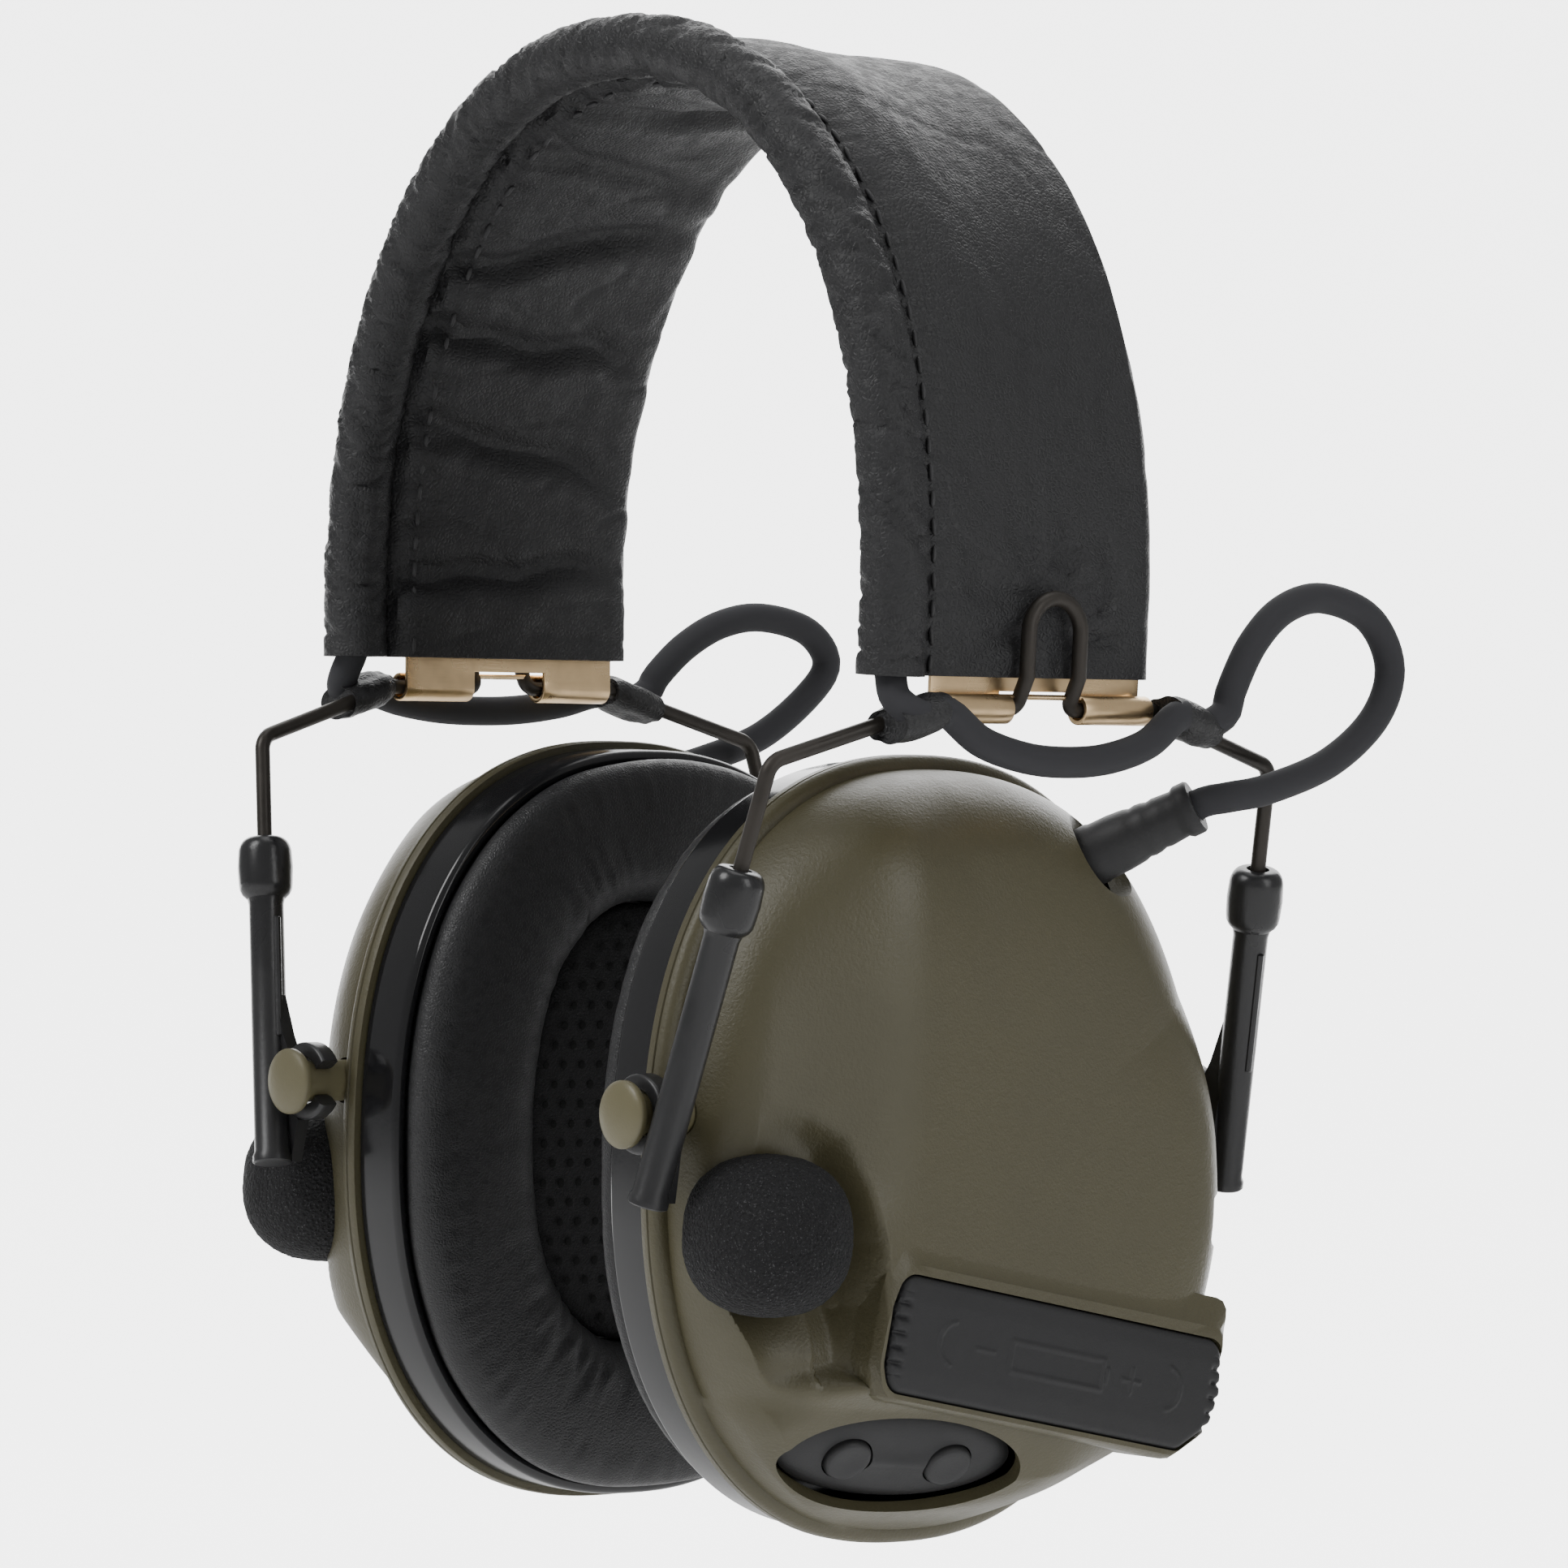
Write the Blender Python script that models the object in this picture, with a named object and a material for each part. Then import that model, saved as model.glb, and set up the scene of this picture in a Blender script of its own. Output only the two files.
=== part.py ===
"""Electronic ear-muff headset with an over-head band, modelled as the pieces it is assembled from.

Frame: metres, +Z up, +X is the wearer's left, -Y is the front. The origin is on the padded inner
face of the headband at the crown, where the head carries it.
Each side hangs on a bent wire fork that hinges in the curled ends of the spring band. Two plastic
sliders ride on the fork's legs and carry the ear cup on a pair of studs.
"""

import math

import bpy
import numpy as np
from mathutils import Matrix, Vector

GAP = 0.0003  # running clearance between pieces that touch or slide
ROUND_OFF = 0.0004  # small moulded edges
THROUGH = 0.0200  # how far a cut runs on beyond the skin it opens
SHARP_ANGLE = 35.0
EMPTY_SIZE = 0.0100

# Spring band and its leather cover. Offsets are along the arch's outward normal.
ARCH_HALF_WIDTH = 0.0540
ARCH_POWER = 2.2
ARCH_RISE = 0.0674
LEG_HEIGHT = 0.0150
LEG_TOE_IN = 0.0005
HEM_TOE_SHARE = 0.7  # of the toe-in, at the cover's lower edge
ARCH_SEGMENTS = 21  # odd, so that the crown is a flat facet
SPRING_WIDTH = 0.0350
SPRING_THICKNESS = 0.0006
NOTCH_WIDTH = 0.0120
NOTCH_HEIGHT = 0.0045
NOTCH_HALF_DEPTH = 0.0100
NOTCH_CORNER = 0.0010
CURL_END_ANGLE = math.radians(460)
CURL_STEPS = 9
PAD_THICKNESS = 0.0015
LEATHER = 0.0010
LEATHER_HEM = 0.0040  # height of the cover's lower edge above the fork hinge
COVER_REAR = 0.0185
COVER_REAR_INNER_ROUND = 0.0015
COVER_REAR_OUTER_ROUND = 0.0012
COVER_REAR_FLAT = (0.6, 0.3)  # shares of the faces' offsets where the rear edge is flat
COVER_OVERRUN = 0.0030  # of the slot and the bore below the cover's lower edge
ROLL_RADIUS = 0.0043
ROLL_LIFT = 0.0013
ROLL_STEPS = 8
ROLL_START = 35  # degrees
ROLL_SWEEP = 285
ROLL_BORE_SLACK = 1.5 * GAP
ROLL_BORE_STEPS = 8
CABLE_OVERLAP = 0.0006  # of the roll's cable with the sleeves' height

# Fork wire.
WIRE_RADIUS = 0.0010
LOOP_HALF_WIDTH = 0.00435
LOOP_TOP = 0.0150
LOOP_STEPS = 6
LOOP_STAND_OFF = (0.0002, 0.0004)  # of its foot and its arch from the cover
SHOULDER_START = 0.0188
SHOULDER_HALF_WIDTH = 0.0420
SHOULDER_DROP = 0.0070
SHOULDER_SET_IN = 0.0026
LEG_LEAN = 0.245  # inward, per unit of height
LEG_SPLAY = 0.120  # to front and rear, per unit of height
LEG_IN_SLIDER = 0.0260
WIRE_BEND = 0.0012

# Sliders on the fork legs.
SLIDER_LENGTH = 0.0437
SLIDER_TOP_BELOW_HINGE = 0.0203
SLIDER_RADIUS = 0.0023
SLIDER_HEAD_RADIUS = 0.00355
SLIDER_HEAD_LENGTH = 0.0075
SLIDER_BORE_DEPTH = 0.0400
HEAD_CHAMFERS = ((0.62, 0.0), (0.93, 0.0009), (1.0, 0.0022))  # (share of its radius, distance)
HEAD_FOOT = (0.88, 0.0009)
HEAD_NECK = 0.0010
FOOT_FLARE = 1.12
FOOT_FLARE_RISE = (0.0012, 0.0008)
RING_THICKNESS = 0.0024
RING_WALL = 0.0019
RING_CENTRE_Y = 0.0458
RING_MOUTH = math.radians(35)
RING_STEPS = 12
ARM_HALF_HEIGHT = (0.0026, 0.0034)  # at the ring, and at the tube
ARM_INSET = 0.0002

# Pivot studs.
STUD_X = 0.0346
STUD_BELOW_HINGE = 0.0514
STUD_NECK_RADIUS = 0.0027
STUD_DISC_RADIUS = 0.0043
STUD_DISC_FACE = 0.0489
STUD_DISC_THICKNESS = 0.0017
STUD_SEAT_DEPTH = 0.0012
STUD_SEAT_HOLE = 0.0060
STUD_DOME = ((1.0, 0.55), (0.86, 0.85))  # (share of its radius, share of its thickness)

# Ear cup. Outline half sizes are those of the shell's flange.
CUP_HALF_WIDTH = 0.0425
CUP_HALF_HEIGHT = 0.0505
CUP_CENTRE_BELOW_STUD = 0.0055
OUTLINE_POWER = 2.3
OUTLINE_STEPS = 28
FLANGE_FACE_X = 0.0297
FLANGE_DEPTH = 0.0032
FLANGE_LEDGE = 0.0018
SHELL_WALL = 0.0020
DOME_HEIGHT = 0.0180
DOME_FRONT_LOSS = 0.0050
DOME_CHIN_SLOPE = 0.75
DOME_CHIN_BELOW_STUD = 0.0370
DOME_POWER = 6.0
DOME_RINGS = (0.985, 0.94, 0.86, 0.72, 0.45)
DOME_MIDDLE = 0.10  # share of the way out of the flat facet at its middle
DOME_FALL_START = 0.0080  # in front of the stud axis
DOME_FALL_LENGTH = 0.0240
FLANGE_EDGE = 0.0010

# Base plate, cushion and what they hold.
PLATE_INSET = 0.0010
PLATE_LIP_X = 0.0220
PLATE_LIP_WALL = 0.0020
PLATE_FLOOR_X = 0.0270
PLATE_CHAMFER = (0.0012, 0.0010, 0.0004)
PORT_HALF_WIDTH = 0.0150
PORT_HALF_HEIGHT = 0.0230
CUSHION_FACE_X = 0.0170
CUSHION_BULGE = 0.0010
CUSHION_ROOT = 0.0002
CUSHION_ROUND = 0.0014
CUSHION_FACE_INSET = 0.0030
CUSHION_MOUTH = (0.0040, 0.0028)  # width and depth of the slope into the ear opening
EAR_HALF_WIDTH = 0.0193
EAR_HALF_HEIGHT = 0.0293
LINER_THICKNESS = 0.0042
DRIVER_RADIUS = 0.0190
DRIVER_DEPTH = 0.0083
DRIVER_RIM = 0.0015
MAGNET_SHARE = 0.55  # of the driver's radius
MAGNET_FOOT = ((1.1, 0.55), (1.0, 0.6))  # (share of its radius, share of the driver's depth)
BOARD_WIDTH = 0.0400
BOARD_HEIGHT = 0.0380
BOARD_THICKNESS = 0.0016
BOARD_CORNER = 0.0030
BOARD_RISE = 0.0050  # of the board's middle above the stud axis

# Microphone at the front of the cup.
MIC_X = 0.0460
MIC_FORWARD = 0.0350
MIC_BELOW_STUD = 0.0146
WINDSCREEN_RADIUS = 0.0105
BALL_STEPS = 7
MIC_CAPSULE_RADIUS = 0.0030
MIC_CAPSULE_LENGTH = 0.0050
MIC_HOLE_MOUTH = 0.0060
MIC_CAPSULE_DEPTH = 0.0080  # from the windscreen's middle to the capsule's inner end

# Battery compartment: one cell, lying along the lid.
LID_Y = 0.0090
LID_BELOW_STUD = 0.0320
LID_SLOPE = math.radians(11)
LID_LENGTH = 0.0570
LID_HEIGHT = 0.0150
LID_THICKNESS = 0.0032
LID_CORNER = 0.0045
LID_EDGE = (0.0008, 0.0005)  # its bevel, and what that takes off the corner
LID_SEAT_X = 0.0474
LID_HINGE_INSET = 0.0015
SEAL_THICKNESS = 0.0008
SEAL_WIDTH = 0.0010
CELL_LENGTH = 0.0445
CELL_RADIUS = 0.00525
CELL_SHIFT = -0.0035  # of the cell's middle towards the front, along the lid
BOX_WALL = 0.0012
BOX_CORNER = 0.0010
BOX_LIP = 0.0008
POCKET_CORNER = 0.0005

# Keypad of the left cup.
KEYPAD_Y = -0.0095
KEYPAD_BELOW_STUD = 0.0440
KEYPAD_X = 0.0420
KEYPAD_TILT = math.radians(38)  # its face looks down by this much
KEYPAD_TURN = math.radians(12)  # and to the front by this much
KEYPAD_SLOPE = math.radians(7)
KEYPAD_HALF_LENGTH = 0.0165
KEYPAD_HALF_HEIGHT = 0.0062
KEYPAD_THICKNESS = 0.0034
KEY_SPACING = 0.0150
KEY_RADIUS = 0.0032
KEY_STAND = 0.0008
KEY_DOME = (0.8, 0.7)  # (share of its radius, share of its stand)
KEY_HOLE_HALF_LENGTH = 0.0080
KEYPAD_HOLE_HALF_LENGTH = 0.0120

PLUG_RADIUS = 0.0042
PLUG_LENGTH = 0.0050
PLUG_EDGE = (0.8, 0.0010)  # (share of its radius, distance from its end)
PLUG_HOLE_DEPTH = 0.0080
PLUG_BELOW_STUD = 0.0225
PLUG_X = 0.0385
PLUG_FACE_Y = 0.0415

# Cable that joins the two cups over the band.
CABLE_RADIUS = 0.0020
BRIDGE_SAG = {"left": 0.0065, "right": 0.0032}
BRIDGE_BOW = ((0.0003, 0.0140, 0.62), (0.0006, 0.0070, 0.92), (0.0006, 0.0, 1.0))  # (x, y, sag)
LOOP_FLATTEN = {"left": 1.0, "right": 0.70}  # the right cable loop rises less
SLEEVE_START = 0.0196
SLEEVE_END = 0.0262
SLEEVE_CABLE_OFFSET = 0.0043
SLEEVE_HALF_DEPTH = 0.0047
SLEEVE_HALF_HEIGHT = 0.0026
SLEEVE_RINGS = ((0, 0.86), (0.15, 1.0), (0.85, 1.0), (1, 0.86))  # (share along, swell)
GLAND_BASE = (0.0437, 0.0198, -0.0187)  # from the hinge's height
GLAND_END = (0.0540, 0.0280, -0.0120)
GLAND_BASE_RADIUS = 0.00385
GLAND_END_RADIUS = 0.00315
GLAND_FOOT = 0.0040
GLAND_COLLAR = (0.0025, 0.0018, 0.0004)  # two distances from its end, and its height
GLAND_SEAT_SHARE = 0.25  # of the boot's length, that its hole starts behind its foot
# The free loop behind each cup, from the gland to the rear sleeve (x, y, z from the hinge's height).
LOOP_ROUTE = (
    (0.0568, 0.0310, -0.0108),
    (0.0577, 0.0374, -0.0096),
    (0.0576, 0.0480, -0.0061),
    (0.0572, 0.0562, -0.0003),
    (0.0567, 0.0591, 0.0063),
    (0.0566, 0.0552, 0.0125),
    (0.0566, 0.0468, 0.0150),
    (0.0568, 0.0397, 0.0134),
    (0.0574, 0.0339, 0.0089),
    (0.0582, 0.0297, 0.0030),
)
LOOP_LEAD = (-0.0001, 0.0022, 0.0024)  # from the rear sleeve to the loop's end
CABLE_STEP = 0.0070
CABLE_END_GAP = 0.0012  # a slanting end stands off this far from a sleeve's face

# What follows from the sizes above.
HINGE_X = ARCH_HALF_WIDTH - LEG_TOE_IN + WIRE_RADIUS + GAP + SPRING_THICKNESS / 2
PAD_FACE = -(SPRING_THICKNESS / 2 + GAP + PAD_THICKNESS + GAP + LEATHER)
COVER_FACE = SPRING_THICKNESS / 2 + GAP + LEATHER
COVER_FRONT = -(SPRING_WIDTH / 2 + GAP + LEATHER + CABLE_RADIUS)
ROLL_Y = COVER_FRONT - ROLL_RADIUS


def arch_path():
    """Centreline of the spring from the left hinge to the right, as (x, height above hinge)."""
    points = [
        (ARCH_HALF_WIDTH - LEG_TOE_IN, 0.0),
        (ARCH_HALF_WIDTH - LEG_TOE_IN * HEM_TOE_SHARE, LEATHER_HEM),
    ]
    for step in range(ARCH_SEGMENTS + 1):
        turn = math.pi * step / ARCH_SEGMENTS
        across = abs(math.cos(turn)) ** (2 / ARCH_POWER)
        x = math.copysign(ARCH_HALF_WIDTH * across, math.cos(turn))
        points.append((x, LEG_HEIGHT + ARCH_RISE * math.sin(turn)))
    return points + [(-x, z) for x, z in reversed(points[:2])]


HINGE_Z = -(LEG_HEIGHT + ARCH_RISE * math.cos(math.pi / 2 / ARCH_SEGMENTS) + PAD_FACE)
STUD_Z = HINGE_Z - STUD_BELOW_HINGE
CUP_Z = STUD_Z - CUP_CENTRE_BELOW_STUD
BEND_X = HINGE_X - SHOULDER_SET_IN
DOME_BASE_X = FLANGE_FACE_X + FLANGE_DEPTH
DOME_HALF_WIDTH = CUP_HALF_WIDTH - FLANGE_LEDGE
DOME_HALF_HEIGHT = CUP_HALF_HEIGHT - FLANGE_LEDGE
PLATE_BACK_X = FLANGE_FACE_X - GAP
LID_INNER_X = LID_SEAT_X + GAP + SEAL_THICKNESS + GAP
BODIES = {}


# ---------------------------------------------------------------- materials

def srgb(red, green, blue):
    """Linear colour of an sRGB colour given in 0-255."""
    return tuple(((c / 255 + 0.055) / 1.055) ** 2.4 for c in (red, green, blue))


FINISHES = {
    "leather": (srgb(44, 44, 45), 0.55, 0.0),
    "spring_steel": (srgb(214, 172, 120), 0.32, 1.0),
    "black_wire": (srgb(42, 38, 34), 0.45, 0.6),
    "black_plastic": (srgb(32, 32, 34), 0.35, 0.0),
    "gloss_plastic": (srgb(22, 22, 24), 0.12, 0.0),
    "olive_shell": (srgb(90, 85, 68), 0.55, 0.0),
    "rubber": (srgb(54, 54, 55), 0.70, 0.0),
    "foam": (srgb(46, 46, 48), 0.95, 0.0),
    "cable_jacket": (srgb(48, 50, 53), 0.50, 0.0),
    "seal_red": (srgb(150, 28, 24), 0.50, 0.0),
    "steel": (srgb(190, 190, 192), 0.30, 1.0),
    "board_green": (srgb(28, 84, 52), 0.50, 0.0),
}


def finish_material(name):
    """The material of one finish, made the first time it is asked for."""
    material = bpy.data.materials.get(name)
    if material:
        return material
    colour, roughness, metallic = FINISHES[name]
    material = bpy.data.materials.new(name)
    material.use_nodes = True
    shader = material.node_tree.nodes["Principled BSDF"]
    shader.inputs["Base Color"].default_value = (*colour, 1.0)
    shader.inputs["Roughness"].default_value = roughness
    shader.inputs["Metallic"].default_value = metallic
    material.diffuse_color = (*colour, 1.0)
    return material


# ---------------------------------------------------------------- bodies and objects

def add_body(name, origin, parent=None):
    """An empty on a moving body's joint axis. Its pieces are parented to it."""
    empty = bpy.data.objects.new(name + "_pivot", None)
    empty.empty_display_size = EMPTY_SIZE
    bpy.context.collection.objects.link(empty)
    place = Vector(origin)
    if parent:
        empty.parent = BODIES[parent][0]
        empty.location = place - BODIES[parent][1]
    else:
        empty.location = place
    BODIES[name] = (empty, place)


def outward(points, faces):
    """The faces, turned round if the closed mesh that they make is inside out."""
    volume = 0.0
    for face in faces:
        for second, third in zip(face[1:-1], face[2:]):
            volume += np.dot(points[face[0]], np.cross(points[second], points[third]))
    return faces if volume > 0 else [tuple(reversed(face)) for face in faces]


def add_solid(name, shape, finish, body, side=1, smooth=SHARP_ANGLE):
    """A mesh object from (points, faces) in the left cup's place. side -1 mirrors it to the right."""
    points = np.array(shape[0], float) * (side, 1.0, 1.0)
    faces = outward(points, shape[1])
    empty, origin = BODIES[body]
    mesh = bpy.data.meshes.new(name)
    mesh.from_pydata([Vector(p) - origin for p in points], [], faces)
    mesh.shade_smooth()
    mesh.set_sharp_from_angle(angle=math.radians(smooth))
    mesh.materials.append(finish_material(finish))
    obj = bpy.data.objects.new(name, mesh)
    bpy.context.collection.objects.link(obj)
    obj.parent = empty
    return obj


def combine(obj, operation, name, shape, side=1):
    """Adds a Boolean of a hidden helper solid to an object."""
    helper = add_solid(name, shape, "steel", "headband", side)
    helper.hide_render = True
    helper.display_type = "WIRE"
    modifier = obj.modifiers.new(name, "BOOLEAN")
    modifier.operation = operation
    modifier.object = helper


def add_tube(name, points, radius, finish, body, side=1, round_steps=2):
    """A round rod or cable as a bevelled poly curve with filled ends."""
    empty, origin = BODIES[body]
    curve = bpy.data.curves.new(name, "CURVE")
    curve.dimensions = "3D"
    curve.bevel_depth = radius
    curve.bevel_resolution = round_steps
    curve.use_fill_caps = True
    spline = curve.splines.new("POLY")
    spline.points.add(len(points) - 1)
    for target, point in zip(spline.points, points):
        place = Vector((side * point[0], point[1], point[2])) - origin
        target.co = (*place, 1.0)
    curve.materials.append(finish_material(finish))
    obj = bpy.data.objects.new(name, curve)
    bpy.context.collection.objects.link(obj)
    obj.parent = empty
    return obj


# ---------------------------------------------------------------- shapes, as (points, faces)

def loft(loops, ring=False):
    """A skin through equal loops of points. Unless it is a ring, both ends get a cap."""
    count = len(loops[0])
    points = [point for loop in loops for point in loop]
    faces = []
    spans = len(loops) if ring else len(loops) - 1
    for row in range(spans):
        this, following = row * count, (row + 1) % len(loops) * count
        for k in range(count):
            after = (k + 1) % count
            faces.append((this + k, this + after, following + after, following + k))
    if not ring:
        last = (len(loops) - 1) * count
        faces.append(tuple(reversed(range(count))))
        faces.append(tuple(range(last, last + count)))
    return points, faces


def lathe(profile, start, direction, steps=24):
    """A turned solid. The profile's (radius, distance) points run from axis to axis."""
    along = Vector(direction).normalized()
    turn = along.to_track_quat("Z", "Y").to_matrix()
    rim = [(r, s) for r, s in profile if r > 0]
    points = [Vector(start) + along * profile[0][1]]
    for radius, distance in rim:
        for k in range(steps):
            angle = 2 * math.pi * k / steps
            spot = Vector((radius * math.cos(angle), radius * math.sin(angle), distance))
            points.append(Vector(start) + turn @ spot)
    points.append(Vector(start) + along * profile[-1][1])
    faces = []
    for k in range(steps):
        after = (k + 1) % steps
        faces.append((0, 1 + after, 1 + k))
        last = 1 + (len(rim) - 1) * steps
        faces.append((len(points) - 1, last + k, last + after))
        for row in range(len(rim) - 1):
            low, high = 1 + row * steps, 1 + (row + 1) * steps
            faces.append((low + k, low + after, high + after, high + k))
    return points, faces


def rod(start, direction, radius, length, steps=24):
    """A plain cylinder."""
    profile = [(0, 0), (radius, 0), (radius, length), (0, length)]
    return lathe(profile, start, direction, steps)


def prism(outline, near, far, frame):
    """An outline of (u, v) points swept between two heights of a frame matrix."""
    loops = [[frame @ Vector((u, v, w)) for u, v in outline] for w in (near, far)]
    return loft(loops)


def rounded_box_outline(half_length, half_height, corner, steps=4):
    """A rectangle with round corners, as (u, v) points."""
    points = []
    for quarter in range(4):
        sign_u = 1 if quarter in (0, 3) else -1
        sign_v = 1 if quarter < 2 else -1
        for step in range(steps + 1):
            angle = math.pi / 2 * (quarter + step / steps)
            u = sign_u * (half_length - corner) + corner * math.cos(angle)
            v = sign_v * (half_height - corner) + corner * math.sin(angle)
            points.append((u, v))
    return points


def oval_outline(half_length, half_height, steps=20):
    """An ellipse, as (u, v) points."""
    turns = [2 * math.pi * k / steps for k in range(steps)]
    return [(half_length * math.cos(t), half_height * math.sin(t)) for t in turns]


def cup_point(turn, half_width, half_height, x):
    """A point of the cup's oval, at an angle round it."""
    share_y = math.copysign(abs(math.cos(turn)) ** (2 / OUTLINE_POWER), math.cos(turn))
    share_z = math.copysign(abs(math.sin(turn)) ** (2 / OUTLINE_POWER), math.sin(turn))
    return x, half_width * share_y, CUP_Z + half_height * share_z


def oval_ring(section):
    """A section of (half width, half height, x) points swept round the cup's oval."""
    loops = []
    for k in range(OUTLINE_STEPS):
        turn = 2 * math.pi * k / OUTLINE_STEPS
        loops.append([cup_point(turn, *corner) for corner in section])
    return loft(loops, ring=True)


def arch_sweep(path, section):
    """A section of (y, offset) points swept along a path of (x, height), with mitred corners."""
    directions = []
    for (x0, z0), (x1, z1) in zip(path, path[1:]):
        length = math.hypot(x1 - x0, z1 - z0)
        directions.append(((x1 - x0) / length, (z1 - z0) / length))
    loops = []
    for k, (x, z) in enumerate(path):
        before = directions[max(k - 1, 0)]
        after = directions[min(k, len(directions) - 1)]
        normal_x, normal_z = before[1] + after[1], -before[0] - after[0]
        scale = 2 / (normal_x**2 + normal_z**2)
        loops.append(
            [
                (x + offset * normal_x * scale, y, HINGE_Z + z + offset * normal_z * scale)
                for y, offset in section
            ]
        )
    return loft(loops)


def round_corners(points, radius, steps=3):
    """A polyline whose corners are replaced by arcs."""
    result = [Vector(points[0])]
    for before, corner, after in zip(points, points[1:], points[2:]):
        corner = Vector(corner)
        back = (Vector(before) - corner).normalized()
        ahead = (Vector(after) - corner).normalized()
        half = math.acos(max(-1.0, min(1.0, back.dot(ahead)))) / 2
        reach = radius / math.tan(half)
        centre = corner + (back + ahead).normalized() * (radius / math.sin(half))
        first = corner + back * reach - centre
        last = corner + ahead * reach - centre
        for step in range(steps + 1):
            spot = first.slerp(last, step / steps).normalized()
            result.append(centre + spot * radius)
    result.append(Vector(points[-1]))
    return result


def smooth_route(points, spacing):
    """Points at an even spacing on a smooth curve through a route's own points."""
    knots = [Vector(p) for p in points]
    knots = [2 * knots[0] - knots[1], *knots, 2 * knots[-1] - knots[-2]]
    fine = []
    for a, b, c, d in zip(knots, knots[1:], knots[2:], knots[3:]):
        for k in range(20):
            t = k / 20
            fine.append(
                0.5 * (2 * b + (c - a) * t + (2 * a - 5 * b + 4 * c - d) * t**2
                       + (3 * b - a - 3 * c + d) * t**3)
            )
    fine.append(knots[-2])
    total = sum((b - a).length for a, b in zip(fine, fine[1:]))
    count = max(2, round(total / spacing))
    result, run, wanted = [fine[0]], 0.0, total / count
    for a, b in zip(fine, fine[1:]):
        run += (b - a).length
        if run >= wanted * len(result) - 1e-9 and len(result) < count:
            result.append(b)
    return [*result, fine[-1]]


# ---------------------------------------------------------------- headband

def spring_band():
    """The sprung strip with two hinge curls at each end."""
    curl_radius = HINGE_X - (ARCH_HALF_WIDTH - LEG_TOE_IN)
    curl = []
    for step in range(CURL_STEPS):
        angle = CURL_END_ANGLE + (math.pi - CURL_END_ANGLE) * step / CURL_STEPS
        curl.append((HINGE_X + curl_radius * math.cos(angle), curl_radius * math.sin(angle)))
    path = curl + arch_path() + [(-x, z) for x, z in reversed(curl)]
    half, thick = SPRING_WIDTH / 2, SPRING_THICKNESS / 2
    section = [(-half, -thick), (half, -thick), (half, thick), (-half, thick)]
    spring = add_solid("spring_band", arch_sweep(path, section), "spring_steel", "headband")
    for side, label in ((1, "left"), (-1, "right")):
        depth = NOTCH_HEIGHT + 2 * curl_radius
        outline = rounded_box_outline(NOTCH_HALF_DEPTH, depth / 2, NOTCH_CORNER)
        middle = Matrix.Translation((side * HINGE_X, 0, HINGE_Z + NOTCH_HEIGHT - depth / 2))
        frame = middle @ Matrix.Rotation(math.pi / 2, 4, "X")
        notch = prism(outline, -NOTCH_WIDTH / 2, NOTCH_WIDTH / 2, frame)
        combine(spring, "DIFFERENCE", f"spring_notch_{label}", notch)


def cover_outline():
    """The leather cover's section, flat over the spring with a roll along its front edge."""
    low, high = COVER_REAR_FLAT
    points = [(COVER_FRONT, PAD_FACE), (COVER_REAR - COVER_REAR_INNER_ROUND, PAD_FACE)]
    points += [(COVER_REAR, PAD_FACE * low), (COVER_REAR, COVER_FACE * high)]
    points += [(COVER_REAR - COVER_REAR_OUTER_ROUND, COVER_FACE), (COVER_FRONT, COVER_FACE)]
    for step in range(ROLL_STEPS + 1):
        angle = math.radians(ROLL_START + ROLL_SWEEP * step / ROLL_STEPS)
        y = ROLL_Y + ROLL_RADIUS * math.cos(angle)
        points.append((y, ROLL_LIFT + ROLL_RADIUS * math.sin(angle)))
    return points


def headband():
    """Spring, pad, leather cover and the cable that runs in the cover's front roll."""
    add_body("headband", (0, 0, 0))
    spring_band()
    path = arch_path()[1:-1]
    cover = add_solid("headband_cover", arch_sweep(path, cover_outline()), "leather", "headband")
    below = LEATHER_HEM - COVER_OVERRUN
    beyond = [(path[0][0], below), *path, (path[-1][0], below)]
    half = SPRING_WIDTH / 2 + GAP
    low, high = PAD_FACE + LEATHER, COVER_FACE - LEATHER
    slot = [(-half, low), (half, low), (half, high), (-half, high)]
    combine(cover, "DIFFERENCE", "cover_slot", arch_sweep(beyond, slot))
    bore_radius = CABLE_RADIUS + ROLL_BORE_SLACK
    bore = [(ROLL_Y + u, ROLL_LIFT + v)
            for u, v in oval_outline(bore_radius, bore_radius, ROLL_BORE_STEPS)]
    combine(cover, "DIFFERENCE", "cover_bore", arch_sweep(beyond, bore))

    pad_top = -(SPRING_THICKNESS / 2 + GAP)
    half = SPRING_WIDTH / 2
    pad = [(-half, pad_top - PAD_THICKNESS), (half, pad_top - PAD_THICKNESS),
           (half, pad_top), (-half, pad_top)]
    add_solid("headband_pad", arch_sweep(path, pad), "foam", "headband")

    cable = [Vector((loop[0][0], ROLL_Y, loop[0][2]))
             for loop in split_loops(arch_sweep(path, [(ROLL_Y, ROLL_LIFT)]), 1)]
    below = HINGE_Z + SLEEVE_HALF_HEIGHT - CABLE_OVERLAP
    cable = [Vector((cable[0].x, ROLL_Y, below)), *cable, Vector((cable[-1].x, ROLL_Y, below))]
    add_tube("headband_cable", cable, CABLE_RADIUS, "cable_jacket", "headband")


def split_loops(shape, count):
    """The loops of points that a loft was made from."""
    points = shape[0]
    return [points[k:k + count] for k in range(0, len(points), count)]


# ---------------------------------------------------------------- fork and sliders

def shoulder_point(reach):
    """The middle of the fork's rear shoulder at a distance from the middle, left side."""
    share = (reach - SHOULDER_START) / (SHOULDER_HALF_WIDTH - SHOULDER_START)
    return Vector((HINGE_X - SHOULDER_SET_IN * share, reach, HINGE_Z - SHOULDER_DROP * share))


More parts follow.
